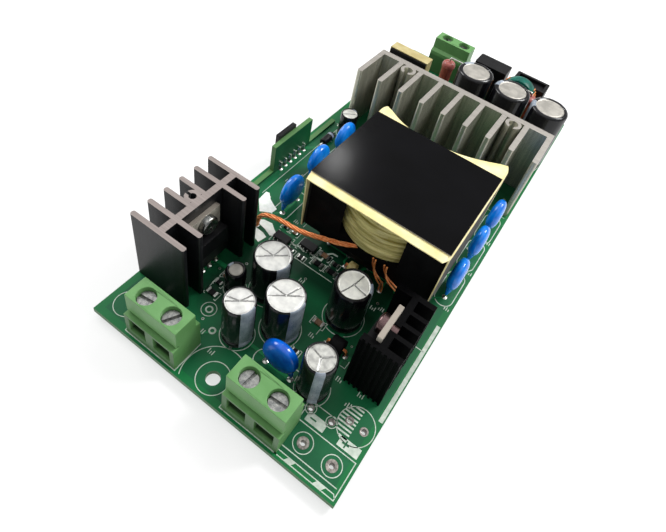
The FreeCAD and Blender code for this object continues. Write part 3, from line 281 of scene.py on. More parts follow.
class Form:
    """Faces gathered for one piece, in metres."""

    def __init__(self):
        self.mesh = bmesh.new()
        self.paint = 0

    def face(self, points):
        made = self.mesh.faces.new(points)
        made.material_index = self.paint
        return made

    def skin(self, rings, capped=True):
        """Quads between rings of points; a ring of one point closes to a tip."""
        rows = [[self.mesh.verts.new(point) for point in ring] for ring in rings]
        for low, high in zip(rows, rows[1:]):
            count = max(len(low), len(high))
            for n in range(count):
                m = (n + 1) % count
                if len(low) == 1:
                    self.face((low[0], high[m], high[n]))
                elif len(high) == 1:
                    self.face((low[n], low[m], high[0]))
                else:
                    self.face((low[n], low[m], high[m], high[n]))
        if capped:
            for row in (rows[0], rows[-1]):
                if len(row) > 2:
                    self.face(row)
        return rows

    def lathe(self, centre, profile, sides, axis="Z"):
        """Turns a profile of (radius, height) in millimetres round an axis through a place, ends open."""
        rings = []
        for radius, height in profile:
            count = sides if radius > 0.001 else 1
            ring = []
            for n in range(count):
                turn = 2 * math.pi * n / count
                a, b = radius * math.cos(turn), radius * math.sin(turn)
                spot = {"Z": (a, b, height), "Y": (b, height, a), "X": (height, a, b)}[axis]
                ring.append(centre + Vector(spot) * MM)
            rings.append(ring)
        return self.skin(rings, capped=False)

    def prism(self, outline, low, high):
        """A flat outline of places in board millimetres, raised between two heights."""
        return self.skin([[at(x, y, z) for x, y in outline] for z in (low, high)])

    def block(self, x0, x1, y0, y1, low, high):
        return self.prism([(x0, y0), (x1, y0), (x1, y1), (x0, y1)], low, high)

    def tube(self, path, radius, sides):
        """A round bar along a path of points; the radius may change from point to point."""
        path = [Vector(point) for point in path]
        side = None
        rings = []
        for n, point in enumerate(path):
            ahead = (path[min(n + 1, len(path) - 1)] - path[max(n - 1, 0)]).normalized()
            side = ahead.orthogonal() if side is None else side - ahead * side.dot(ahead)
            side.normalize()
            other = ahead.cross(side)
            size = (radius[n] if isinstance(radius, (list, tuple)) else radius) * MM
            rings.append([point + (side * math.cos(turn) + other * math.sin(turn)) * size
                          for turn in (2 * math.pi * k / sides for k in range(sides))])
        return self.skin(rings)

    def closed(self, name):
        """The gathered faces as a new object, joined up and turned outwards."""
        bmesh.ops.remove_doubles(self.mesh, verts=self.mesh.verts, dist=WELD / 10)
        bmesh.ops.recalc_face_normals(self.mesh, faces=self.mesh.faces)
        mesh = bpy.data.meshes.new(name)
        self.mesh.to_mesh(mesh)
        self.mesh.free()
        return stand(name, mesh)

    def piece(self, name, slot, finishes, hides=(), angle=CRISP):
        """The gathered faces as a finished piece, smooth but for edges sharper than an angle."""
        made = self.closed(name)
        for finish in finishes:
            made.data.materials.append(finish.material)
        return settle(made, hides, angle)


def settle(made, hides=(), angle=None):
    """Smooths a piece but for its sharp edges, fixes it to the body and hides the CAD nodes it stands for."""
    made.data.shade_smooth()
    if angle:
        made.data.set_sharp_from_angle(angle=math.radians(angle))
    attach(made, "root")
    if hides:
        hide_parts(*hides)
    return made


def middle(low, high, z):
    """The middle of a box, seen from above, at a height in metres."""
    return Vector(((low.x + high.x) / 2, (low.y + high.y) / 2, z))


def place_of(node):
    """The middle of a CAD node in board millimetres."""
    low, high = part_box(node)
    return ((low + high) / 2 - at(0, 0)) / MM


def islands(node):
    """The lowest and highest corners of each separate solid of a CAD node."""
    form = bmesh.new()
    form.from_mesh(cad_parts[node].data)
    bmesh.ops.remove_doubles(form, verts=form.verts, dist=WELD)
    left, boxes = set(form.verts), []
    while left:
        stack, lot = [left.pop()], []
        while stack:
            spot = stack.pop()
            lot.append(spot.co.copy())
            for link in spot.link_edges:
                near = link.other_vert(spot)
                if near in left:
                    left.remove(near)
                    stack.append(near)
        low = Vector(min(c[n] for c in lot) for n in range(3))
        high = Vector(max(c[n] for c in lot) for n in range(3))
        boxes.append((low, high))
    form.free()
    return sorted(boxes, key=lambda box: tuple(box[0]))


def recipe(name, **dials):
    """A Geometry Nodes tree with named inputs, and their sockets inside it."""
    tree = bpy.data.node_groups.new(name, "GeometryNodeTree")
    for dial, kind in dials.items():
        tree.interface.new_socket(dial.replace("_", " "), in_out="INPUT", socket_type="NodeSocket" + kind)
    tree.interface.new_socket("Piece", in_out="OUTPUT", socket_type="NodeSocketGeometry")
    return tree, add(tree, "NodeGroupInput").outputs


def serve(tree, geometry, finish):
    """Ends a recipe: real geometry in its finish."""
    real = add(tree, "GeometryNodeRealizeInstances", {"Geometry": geometry})
    painted = add(tree, "GeometryNodeSetMaterial", {"Geometry": real.outputs[0], "Material": finish})
    add(tree, "NodeGroupOutput", {"Piece": painted.outputs[0]})


def grown(name, start, tree, dials):
    """What a recipe makes of a start, such as points or a route, as a plain mesh."""
    holder = stand(name + "_start", start)
    maker = holder.modifiers.new("recipe", "NODES")
    maker.node_group = tree
    for item in tree.interface.items_tree:
        if item.in_out == "INPUT" and item.name in dials:
            maker[item.identifier] = dials[item.name]
    bpy.context.view_layer.update()
    mesh = bpy.data.meshes.new_from_object(holder.evaluated_get(bpy.context.evaluated_depsgraph_get()))
    mesh.name = name
    bpy.data.objects.remove(holder)
    return stand(name, mesh)


copier, dial = recipe("copies", Places="Geometry", Shape="Object", Size="Float", Finish="Material")
shape_copied = add(copier, "GeometryNodeObjectInfo", {"Object": dial["Shape"]})
own_size = add(copier, "GeometryNodeInputNamedAttribute", {"Name": "own_size"}, data_type="FLOAT")
full_size = add(copier, "ShaderNodeMath", {0: own_size.outputs[0], 1: dial["Size"]}, operation="MULTIPLY")
copies = add(copier, "GeometryNodeInstanceOnPoints", {
    "Points": dial["Places"], "Instance": shape_copied.outputs["Geometry"], "Scale": full_size.outputs[0]})
serve(copier, copies.outputs[0], dial["Finish"])


def spread(name, places, form, finish, size=1.0, own_sizes=None):
    """Sets a copy of one small shape at each place."""
    cloud = bpy.data.meshes.new(name + "_places")
    cloud.from_pydata([tuple(place) for place in places], [], [])
    sizes = cloud.attributes.new("own_size", "FLOAT", "POINT")
    sizes.data.foreach_set("value", own_sizes or [1.0] * len(places))
    shape = form.closed("shape")
    made = grown(name, cloud, copier, {"Shape": shape, "Size": size, "Finish": finish.material})
    bpy.data.objects.remove(shape)
    return settle(made, angle=40)


tin = Finish("tin", (176, 178, 172), (212, 212, 206), drift=0.8, grain=0.2, rough=(0.22, 0.4),
             depth=0.01, Metallic=1.0)
dress("solder_joints", tin)
joints = islands("solder_joints")
origin = Vector((0, 0, 0))
ring = Form()
ring.lathe(origin, [(0.0, 0.0), (0.95, 0.0), (0.92, 0.06), (0.7, 0.14), (0.45, 0.3), (0.0, 0.34)], 16)
spread("lead_pads", [middle(low, high, board_high.z) for low, high in joints], ring, tin, size=0.9)


# Terminal blocks: green moulded housings with two round wells each, plated screws that bear on the wires,
# and bent clamps behind the wire entries. The blocks are soldered in.

moulded_green = Finish("moulded_green", (86, 132, 76), (96, 142, 86), drift=6.0, grain=0.12,
                       rough=(0.36, 0.48), depth=0.004, Specular_IOR_Level=0.3)
scuffs = moulded_green.clouds(moulded_green.place, 900.0, 6.0)
moulded_green.cover(moulded_green.scale(scuffs, 0.62, 0.75, 0.0, 0.35), (122, 164, 112))
# Painted shade: the front faces of the housings below the step are painted darker.
step_level = board_high.z + 7.8 * MM
shaded = moulded_green.both(moulded_green.facing(1, -0.4, -0.8),
                            moulded_green.where(2, step_level + 0.8 * MM, step_level))
moulded_green.cover(moulded_green.both(shaded, 0.6), (36, 64, 36))
# Painted shade: surfaces deep inside each housing, below the step, in the wells and wire entries, are painted
# near-black.
for side in ("left", "right", "input"):
    low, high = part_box(side + "_terminal_housing")
    painted_shade_in_wells = moulded_green.where(2, step_level, step_level - 0.6 * MM)
    for axis in (0, 1):
        for face, inward in ((low[axis], MM), (high[axis], -MM)):
            within = moulded_green.where(axis, face + 0.5 * inward, face + 1.1 * inward)
            painted_shade_in_wells = moulded_green.both(painted_shade_in_wells, within)
    moulded_green.cover(moulded_green.both(painted_shade_in_wells, 0.85), (14, 30, 14))
    dress(side + "_terminal_housing", moulded_green, edge=0.18, segments=3)

plated = Finish("plated_steel", (118, 120, 120), (164, 164, 160), drift=0.9, grain=0.15,
                rough=(0.22, 0.42), depth=0.006, Metallic=1.0)
stains = plated.clouds(plated.place, 2600.0, 3.0)
plated.cover(plated.scale(stains, 0.55, 0.72, 0.0, 0.5), (84, 84, 82))
dress("terminal_screws", plated, edge=0.12)
clamp_metal = Finish("clamp_metal", (44, 46, 44), (72, 74, 70), drift=0.9, grain=0.15, rough=(0.35, 0.5),
                     depth=0.006, Metallic=0.8)
dress("terminal_clamps", clamp_metal, edge=0.06)
# Painted shade: the side heatsink's screw, where the tab half covers it, is painted a darker, pinkish tone.
screw_steel_with_painted_shade = Finish("screw_steel_with_painted_shade", (118, 120, 120), (164, 164, 160), drift=0.7, grain=0.12, rough=(0.2, 0.36),
                    depth=0.006, Metallic=1.0)
screw_steel_with_painted_shade.cover(screw_steel_with_painted_shade.where(0, at(36, 0).x, at(40, 0).x), (104, 84, 84))
dress("fixing_screws", screw_steel_with_painted_shade)


# Heatsinks and power transistors: aluminium, extruded and cut to length. The two output sinks were black
# anodised before cutting, so their cut ends are bare; the input sink is left bare.

def cut_end(finish, colour):
    """Saw marks and bare metal on the faces that point up."""
    ends = finish.facing(2, 0.8, 0.95)
    marks = finish.node("ShaderNodeMapping", {"Vector": finish.place, "Scale": (60, 2200, 1),
                                              "Rotation": (0, 0, 0.5)}).outputs[0]
    strokes = finish.clouds(marks, 1.0, 3.0)
    bright = hue(*colour)
    dull = tuple(0.72 * part for part in bright[:3]) + (1.0,)
    finish.cover(ends, finish.tones(strokes, (0.3, dull), (0.7, bright)))
    finish.cover_gloss(ends, 0.5)


black_anodised = Finish("black_anodised", (17, 18, 20), (25, 26, 29), drift=5.0, grain=0.18,
                        stretch=(8, 8, 0.4), rough=(0.34, 0.48), depth=0.008, Specular_IOR_Level=0.2)
# Painted shade: the output sink is painted darker towards the board, low between its fins.
black_anodised.cover(black_anodised.where(2, board_high.z + 15 * MM, board_high.z + 3 * MM), (3, 6, 5))
cut_end(black_anodised, (142, 132, 128))
dress("output_heatsink", black_anodised, edge=0.12)
dark_anodised = Finish("dark_anodised", (4, 4, 5), (8, 8, 9), drift=5.0, grain=0.18,
                       stretch=(8, 8, 0.4), rough=(0.4, 0.52), depth=0.008, Specular_IOR_Level=0.03)
dress("side_heatsink", dark_anodised, edge=0.1)
bare_metal = Finish("bare_aluminium", (158, 158, 144), (190, 188, 172), drift=6.0, grain=0.2,
                    stretch=(6, 6, 0.3), rough=(0.22, 0.36), depth=0.01, Metallic=0.6)
cut_end(bare_metal, (164, 159, 152))
dress("input_heatsink", bare_metal, edge=0.12)

moulded_black = Finish("moulded_black", (10, 10, 12), (17, 17, 19), drift=2.0, grain=0.12,
                       rough=(0.32, 0.46), depth=0.006, Specular_IOR_Level=0.2)
tab_metal = Finish("tab_metal", (190, 184, 170), (216, 210, 196), drift=1.4, grain=0.15, rough=(0.36, 0.5),
                   depth=0.008, Metallic=0.5)
# Painted shade: faces of the tabs that point up are painted darker, toning down the directly lit top of the
# side tab.
tab_metal.cover(tab_metal.facing(2, 0.4, 0.8), (142, 134, 124))
for side in ("output", "side"):
    dress(side + "_transistor_package", moulded_black, edge=0.12)
    dress(side + "_transistor_tab_and_leads", tab_metal, edge=0.06)


# Electrolytic capacitors: drawn aluminium cans, scored on top so that they can vent, and crimped near the
# foot. A shrunk plastic sleeve with a pale stripe covers all but the top.

sleeve = Finish("can_sleeve", (9, 9, 12), (15, 15, 19), drift=3.0, grain=0.3, rough=(0.16, 0.24),
                depth=0.003, Specular_IOR_Level=0.35)
stripe = Finish("sleeve_stripe", (112, 122, 134), (148, 156, 166), drift=2.0, grain=0.3,
                rough=(0.24, 0.36), depth=0.003, Specular_IOR_Level=0.35)
can_top = Finish("can_top", (186, 186, 183), (212, 212, 207), drift=1.8, grain=0.1, rough=(0.34, 0.48),
                 depth=0.004, Metallic=0.3)
bright_top = Finish("bright_top", (212, 212, 206), (236, 236, 228), drift=1.8, grain=0.1, rough=(0.34, 0.48),
                    depth=0.004, Metallic=0.2)
worn_top = Finish("worn_top", (148, 148, 144), (186, 186, 180), drift=1.2, grain=0.1, rough=(0.34, 0.48),
                  depth=0.006, Metallic=0.3)
matt_top = Finish("matt_top", (146, 143, 136), (172, 168, 160), drift=2.4, grain=0.12, rough=(0.42, 0.56),
                  depth=0.005, Metallic=0.5)
score = Finish("score_line", (112, 112, 110), (142, 142, 140), drift=1.0, grain=0.1, rough=(0.3, 0.45),
               depth=0.004, Metallic=0.6)

CAN_SIDES, TOP_STEPS = 96, 24
CRINKLE = 0.035
SCORE_WIDTH, SCORE_DEPTH = 0.2, 0.14
CAN_WIRE_RADIUS, SOLDERED_END = 0.3, -1.6
FOOT_AND_CRIMP = ((0.7, 0.15), (0.25, 0.25), (0.05, 0.6), (0, 1.0), (0, 1.55), (0.12, 1.85), (0.34, 2.1),
                  (0.34, 2.3), (0.12, 2.55), (0, 2.9))
SHRUNK_LIP = ((0, 0.9), (0.08, 0.5), (0.25, 0.18), (0.5, 0), (0.8, 0.07), (1, 0.26))


def sleeved_wall(form, foot, radius, height, lip, stripe_side, stripe_width):
    """The can's wall in its sleeve, which crinkles where it shrank over the rim; ends in the rim's ring."""
    wall = [(0.0, 0.15)] + [(radius - inset, level) for inset, level in FOOT_AND_CRIMP]
    wall += [(radius - inset * lip, height - drop) for inset, drop in SHRUNK_LIP]
    rows = form.lathe(foot, wall, CAN_SIDES)
    for row in rows[-6:-1]:
        for n, spot in enumerate(row):
            around = 2 * math.pi * n / CAN_SIDES
            wave = math.sin(7 * around + stripe_side) * math.sin(17 * around + 2 * stripe_side)
            inward = (spot.co - foot - Vector((0, 0, height * MM))).normalized()
            spot.co += inward * CRINKLE * (wave - 1) * MM
    for face in form.mesh.faces:
        away = face.calc_center_median() - foot
        off = (math.degrees(math.atan2(away.y, away.x)) - stripe_side + 180) % 360 - 180
        face.material_index = 1 if abs(off) < stripe_width / 2 and away.z > 0.8 * MM else 0
    return rows[-1]


def scored_top(form, foot, radius, height, scores, last):
    """The bare top from the rim's ring inwards: a groove round it, scored lines and the puff between them."""
    lines = [math.radians(angle) for angle in scores]
    for step in range(TOP_STEPS):
        share = 1 - (step + 1) / (TOP_STEPS + 1)
        ring, cuts = [], []
        for n in range(CAN_SIDES):
            around = 2 * math.pi * (n + 0.5) / CAN_SIDES
            x, y = radius * share * math.cos(around), radius * share * math.sin(around)
            cut = 0.0
            for line in lines:
                along = x * math.cos(line) + y * math.sin(line)
                across = abs(y * math.cos(line) - x * math.sin(line))
                if along > -0.1 and share < 0.93:
                    cut = max(cut, math.exp(-(across / SCORE_WIDTH) ** 2))
            puff = 0.10 * math.sin(1.5 * around + 0.6) * share if lines else 0.0
            edge_dip = 0.12 * math.exp(-((share - 0.93) / 0.03) ** 2)
            level = height - 0.3 - SCORE_DEPTH * cut - edge_dip + 0.05 * (1 - share ** 2) - abs(puff)
            ring.append(form.mesh.verts.new(foot + Vector((x, y, level)) * MM))
            cuts.append(cut)
        for n in range(CAN_SIDES):
            m = (n + 1) % CAN_SIDES
            form.paint = 3 if cuts[n] + cuts[m] > 1.0 else 2
            form.face((last[n], last[m], ring[m], ring[n]))
        last = ring
    form.paint = 2
    tip = form.mesh.verts.new(foot + Vector((0, 0, height - 0.34)) * MM)
    for n in range(CAN_SIDES):
        form.face((last[n], last[(n + 1) % CAN_SIDES], tip))


def can(name, stripe_side, top, scores=(), stripe_width=40, lip=0.55):
    """One can: where its stripe faces, the finish of its top and the lines scored there, in degrees."""
    low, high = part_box(name)
    foot = middle(low, high, board_high.z)
    radius = (high.x - low.x) / 2 / MM
    height = (high.z - board_high.z) / MM
    form = Form()
    rim = sleeved_wall(form, foot, radius, height, lip, stripe_side, stripe_width)
    scored_top(form, foot, radius - lip, height, scores, rim)
    form.paint = 4
    pitch = 1.25 if radius < 3.5 else 1.75 if radius < 4.5 else 2.5
    for side in (-pitch, pitch):
        ends = [foot + Vector((side, 0, level)) * MM for level in (0.3, SOLDERED_END)]
        form.tube(ends, CAN_WIRE_RADIUS, 10)
    form.piece(name + "_can", "can_sleeve", [sleeve, stripe, top, score, tin], [name], angle=28)


can("output_capacitor_1", -16, can_top, (40, 220, 68, 195), stripe_width=60)
can("output_capacitor_2", -14, can_top, (38, 218, 72, 178), stripe_width=58)
can("output_capacitor_3", -18, can_top, (42, 222, 84, 177), stripe_width=50)
can("output_capacitor_4", 22, bright_top, (80, 250, 350), lip=0.95)
can("output_capacitor_5", -58, worn_top, (45, 165, 290), stripe_width=34, lip=0.7)
can("output_capacitor_6", 170, matt_top, lip=0.95)
can("start_capacitor", 80, bright_top, (40, 220))
for number in (1, 2, 3):
    can(f"input_capacitor_{number}", 120 + 25 * number, matt_top, lip=1.6)


# Disc capacitors: ceramic discs dipped in blue lacquer, which runs a little way down the two leads. They
# stand on edge, and the lacquer bulges where it gathered.

blue_coat = Finish("blue_coat", (0, 100, 198), (6, 128, 228), drift=2.4, grain=0.5, rough=(0.14, 0.2),
                   depth=0.012, Specular_IOR_Level=0.4, Coat_Weight=0.35)
deep_blue_coat = Finish("deep_blue_coat", (0, 72, 172), (4, 98, 202), drift=2.4, grain=0.5,
                        rough=(0.14, 0.2), depth=0.012, Specular_IOR_Level=0.4, Coat_Weight=0.35)

DISC_ROWS, DISC_SIDES = 20, 56
DISC_LEAD_SPREAD, DISC_WIRE_RADIUS = 3.75, 0.29
RUN_OUT_RADII = [1.15, 0.85, 0.55, 0.36]


def disc(name, along, seed, coat=blue_coat):
    """One dipped disc on its leads, along X or Y."""
    low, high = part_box(name)
    foot = middle(low, high, board_high.z)
    wide, thin, up = Vector((0, 1, 0)), Vector((1, 0, 0)), Vector((0, 0, 1))
    if along == "x":
        wide, thin = thin, wide
    size = (high - low) / MM
    radius, thick = size.dot(wide) / 2, size.dot(thin)
    centre = (high.z - board_high.z) / MM - radius
    form = Form()
    rings = []
    for row in range(DISC_ROWS + 1):
        polar = math.pi * row / DISC_ROWS
        ring = []
        across = math.copysign(abs(math.cos(polar)) ** 0.8, math.cos(polar)) * thick / 2
        reach = math.sin(polar) ** 0.62 * radius if 0 < row < DISC_ROWS else 0.0
        count = DISC_SIDES if 0 < row < DISC_ROWS else 1
        for n in range(count):
            around = 2 * math.pi * n / count
            wobble = 1 - 0.012 * (1 + math.sin(3 * around + seed)) * (count > 1)
            sag = 0.97 if math.sin(around) > 0 else 1.0
            x, z = reach * wobble * sag * math.cos(around), reach * wobble * math.sin(around)
            swell = 1.0 if z < 0 else 1.0 - 0.1 * z / radius
            ring.append(foot + (wide * x + thin * across * swell * 0.98 + up * (centre + z)) * MM)
        rings.append(ring)
    form.skin(rings)
    for out in (wide * DISC_LEAD_SPREAD, wide * -DISC_LEAD_SPREAD):
        start = out * 0.82 + up * (centre - radius * 0.6)
        run = out + up * 2.2
        form.paint = 0
        form.tube([foot + spot * MM for spot in (start, start.lerp(run, 0.5), run, out + up * 1.4)],
                  RUN_OUT_RADII, 12)
        form.paint = 1
        form.tube([foot + (out + up * level) * MM for level in (1.8, SOLDERED_END)], DISC_WIRE_RADIUS, 10)
    form.piece(name + "_dipped", "blue_coat", [coat, tin], [name], angle=60)


for number in (1, 2, 3):
    disc(f"left_disc_{number}", "y", seed=number)
    disc(f"right_disc_{number}", "y", seed=number + 4)
disc("output_disc", "x", seed=2.2, coat=deep_blue_coat)


# Transformer: two pressed ferrite halves round a spool wound with wire and covered with clear yellow tape.
# Cream tape holds the halves together, and a plain black label is stuck on top. The block stands on a
# moulded base with soldered pins.

ferrite = Finish("ferrite", (7, 7, 8), (14, 14, 15), drift=3.0, grain=0.25, rough=(0.5, 0.7), depth=0.02,
                 Specular_IOR_Level=0.08)
for half in ("lower", "upper"):
    dress("transformer_core_" + half, ferrite, edge=0.15)
dress("transformer_spool", moulded_black, edge=0.1)
dress("transformer_base", moulded_black, edge=0.15)
dress("transformer_pins", tin)

black_label = Finish("black_label", (9, 9, 10), (12, 12, 14), drift=12.0, grain=0.2, rough=(0.13, 0.17),
                     depth=0.003, Specular_IOR_Level=0.045)
black_label.cover(black_label.facing(2, 0.7, 0.4), (138, 134, 130))
dress("transformer_label", black_label, edge=0.08)

clear_tape = Finish("winding_tape", (150, 140, 76), (210, 202, 138), drift=2.2, grain=0.5,
                    stretch=(0.25, 0.25, 2.4), rough=(0.2, 0.36), depth=0.02, Coat_Weight=0.4)
wound_low, wound_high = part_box("transformer_winding")
spool_foot = middle(wound_low, wound_high, wound_low.z)
tall = (wound_high.z - wound_low.z) / MM
wide = (wound_high.x - wound_low.x) / 2 / MM
HOLLOW, EDGE, HAIR = 8.2, 0.9, 0.02
turns = [(0.0, 0.55), (1.1, 0.25), (2.2, 0.0), (3.4, 0.35), (4.6, 0.1), (5.7, 0.4), (6.9, 0.15), (8.1, 0.45),
         (9.4, 0.3), (10.6, 0.6)]
profile = [(HOLLOW, HAIR), (wide - EDGE, HAIR)]
for (level, back), following in zip(turns, [t[0] for t in turns[1:]] + [tall]):
    profile += [(wide - back - 0.22, level + 0.06), (wide - back - 0.04, level + 0.16),
                (wide - back, level + 0.45), (wide - back - 0.04, following - 0.12),
                (wide - back - 0.2, following - HAIR)]
profile += [(wide - EDGE, tall - HAIR), (HOLLOW, tall - HAIR), (HOLLOW, HAIR)]
coil = Form()
coil.lathe(spool_foot, profile, 128)
for spot in coil.mesh.verts:
    away = spot.co - spool_foot
    around = math.atan2(away.y, away.x)
    inward = 0.10 * (1 + math.sin(5 * around + away.z * 900)) * 0.5 * MM
    spot.co -= Vector((away.x, away.y, 0)).normalized() * inward
coil.piece("wound_coil", "winding_tape", [clear_tape], ["transformer_winding"], angle=50)

cream_tape = Finish("cream_tape", (216, 203, 138), (236, 226, 174), drift=5.0, grain=0.4,
                    rough=(0.32, 0.46), depth=0.01)
tape_low, tape_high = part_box("transformer_tape")
# Painted shade: the tape's side faces, below the top bend and between its loose front and back edges, are
# painted near-black and matt, as if in deep shadow.
sides_below_top = cream_tape.where(2, tape_high.z - 1.0 * MM, tape_high.z - 1.7 * MM)
for loose, held in ((46.9, 47.3), (79.6, 78.6)):
    sides_below_top = cream_tape.both(sides_below_top, cream_tape.where(1, at(0, loose).y, at(0, held).y))
outward = cream_tape.both(cream_tape.facing(0, 0.5, 0.9), cream_tape.facing(0, -0.5, -0.9), "MAXIMUM")
painted_shade_on_tape_sides = cream_tape.both(sides_below_top, outward)
cream_tape.cover(painted_shade_on_tape_sides, (20, 22, 15))
cream_tape.cover_gloss(painted_shade_on_tape_sides, 0.85)
LOOSE_CORNERS = {"left": (11 * MM, 5.6), "right": (17 * MM, 7.6)}
TAPER, FLAP_SETBACK, BACK_SETBACK, CORNER_FOLD = 2.5, 4.2, 1.9, 3.0


def tape_loop():
    """The tape over the core: curled where it stands out past it, tapered down to the flaps below."""
    x0, x1, y0, y1, z0, z1 = (v for pair in zip(tape_low, tape_high) for v in pair)
    bend, flap, thick, rows = 1.1 * MM, 3.0 * MM, 0.3 * MM, 36
    core_front, core_back = at(0, 48.5).y, at(0, 77.5).y
    run = [(x0 + flap, z0, 0, -1)]
    for cx, cz, start in ((x0 + bend, z0 + bend, 270), (x0 + bend, z1 - bend, 180),
                          (x1 - bend, z1 - bend, 90), (x1 - bend, z0 + bend, 0)):
        turn = math.radians(start)
        goal = (cx + bend * math.cos(turn), cz + bend * math.sin(turn))
        last = run[-1]
        for step in range(1, 16):
            x, z = (one + (other - one) * step / 16 for one, other in zip(last, goal))
            run.append((x, z, *last[2:]))
        for step in range(7):
            turn = math.radians(start - 15 * step)
            out_x, out_z = math.cos(turn), math.sin(turn)
            run.append((cx + bend * out_x, cz + bend * out_z, out_x, out_z))
    run.append((x1 - flap, z0, 0, -1))

    def row(part, depth):
        line = []
        for x, z, out_x, out_z in run:
            left = x + x < x0 + x1
            inset = x - x0 if left else x1 - x
            reach, gain = LOOSE_CORNERS["left" if left else "right"]
            corner = max(0.0, 1 - inset / reach)
            level, top = (z - z0) / (z1 - z0), max(0.0, out_z)
            front = y0 + (TAPER * (1 - level) if left else (2.3 + 0.5 * (1 - level)) * (1 - top)) * MM
            front += FLAP_SETBACK * MM * max(0.0, -out_z)
            over = gain * corner ** 1.4 - BACK_SETBACK - CORNER_FOLD * max(0.0, 1 - inset / (2 * MM)) ** 2
            beside = (gain - BACK_SETBACK - CORNER_FOLD) * level ** 5 - TAPER * (1 - level)
            back = y1 + (over * top + beside * (1 - top)) * MM
            y = front + (back - front) * part
            ahead = max(0.0, (core_front - y) / (core_front - y0))
            behind = max(0.0, (y - core_back) / (y1 - core_back))
            curl = 0.55 * MM * ahead ** 2 + 0.5 * MM * behind ** 2 * (1 - corner) + depth
            curl += 0.05 * MM * math.sin(x * 900 + y * 300) ** 2 * (ahead + behind)
            line.append(Vector((x - out_x * curl, y, z - out_z * curl)))
        return line

    form = Form()
    rings = form.skin([row(n / rows, 0.0) + row(n / rows, thick)[::-1] for n in range(rows + 1)],
                      capped=False)
    for ring in (rings[0], rings[-1]):
        for n in range(len(run) - 1):
            form.face((ring[n], ring[n + 1], ring[-n - 2], ring[-n - 1]))
    form.piece("core_tape", "yellow_tape", [cream_tape], ["transformer_tape"], angle=60)


tape_loop()

copper = Finish("enamelled_copper", (216, 116, 56), (246, 162, 100), drift=0.8, grain=0.1, rough=(0.24, 0.36),
                depth=0.004, Metallic=0.35)
litz, dial = recipe("twisted strands", Route="Geometry", Strands="Int", Wire_radius="Float",
                    Bundle_radius="Float", Lay="Float", Finish="Material")
resampled = add(litz, "GeometryNodeResampleCurve", {"Curve": dial["Route"], "Length": 0.35 * MM},
                mode="LENGTH")
repeated = add(litz, "GeometryNodeDuplicateElements", {
    "Geometry": resampled.outputs[0], "Amount": dial["Strands"]}, domain="SPLINE")
travelled = add(litz, "ShaderNodeMath", {0: add(litz, "GeometryNodeSplineParameter").outputs["Length"],
                                         1: dial["Lay"]}, operation="DIVIDE")
share = add(litz, "ShaderNodeMath", {0: repeated.outputs[1], 1: dial["Strands"]}, operation="DIVIDE")
rounds = add(litz, "ShaderNodeMath", {0: travelled.outputs[0], 1: share.outputs[0]}, operation="ADD")
angle = add(litz, "ShaderNodeMath", {0: rounds.outputs[0], 1: 2 * math.pi}, operation="MULTIPLY")
turned = add(litz, "ShaderNodeVectorRotate", {
    "Vector": add(litz, "GeometryNodeInputNormal").outputs[0], "Angle": angle.outputs[0],
    "Axis": add(litz, "GeometryNodeInputTangent").outputs[0]}, rotation_type="AXIS_ANGLE")
offset = add(litz, "ShaderNodeVectorMath", {0: turned.outputs[0], "Scale": dial["Bundle radius"]},
             operation="SCALE")
laid = add(litz, "GeometryNodeSetPosition", {"Geometry": repeated.outputs[0], "Offset": offset.outputs[0]})
section = add(litz, "GeometryNodeCurvePrimitiveCircle", {"Resolution": 7, "Radius": dial["Wire radius"]})
body = add(litz, "GeometryNodeCurveToMesh", {
    "Curve": laid.outputs[0], "Profile Curve": section.outputs[0], "Fill Caps": True})
serve(litz, body.outputs[0], dial["Finish"])
STRAND_RADIUS = 0.27


def twisted(name, routes, strands, bundle_radius, lay, hides):
    """Enamelled wires twisted together along smooth routes given in board millimetres."""
    line = bpy.data.curves.new(name, "CURVE")
    line.dimensions, line.resolution_u = "3D", 24
    for route in routes:
        spline = line.splines.new("NURBS")
        spline.points.add(len(route) - 1)
        for point, place in zip(spline.points, route):
            point.co = (*at(*place), 1.0)
        spline.order_u, spline.use_endpoint_u = 3, True
    dials = {"Strands": strands, "Wire radius": STRAND_RADIUS * MM, "Bundle radius": bundle_radius * MM,
             "Lay": lay * MM, "Finish": copper.material}
    return settle(grown(name, line, litz, dials), [hides])


long_route = [(45.0, 49.4, 15.6), (43.2, 48.2, 15.3), (40.4, 47.1, 14.7), (36.4, 46.2, 14.0),
              (32.2, 45.4, 13.0), (27.6, 45.4, 11.4), (23.0, 46.4, 9.8), (18.6, 46.9, 8.3), (14.8, 47.0, 6.4),
              (13.0, 47.0, 2.8), (13.0, 47.0, SOLDERED_END)]
twisted("long_twisted_lead", [long_route], strands=5, bundle_radius=0.46, lay=15, hides="long_winding_lead")
short_routes = (
    [(50.6, 47.0, 17.2), (50.6, 47.4, 13.2), (53.6, 47.9, 8.6), (53.8, 51.6, 3.6),
     (53.8, 51.6, SOLDERED_END)],
    [(54.0, 47.0, 17.2), (54.0, 47.4, 13.2), (58.4, 48.6, 9.0), (59.6, 52.0, 4.2),
     (59.6, 52.0, SOLDERED_END)])
twisted("short_twisted_leads", short_routes, strands=2, bundle_radius=0.42, lay=34,
        hides="short_winding_leads")


# Daughter board: a stepped card of the same laminate stands at the left edge. Its pins are soldered to it
# on the inside, and one component sits on its outer face.

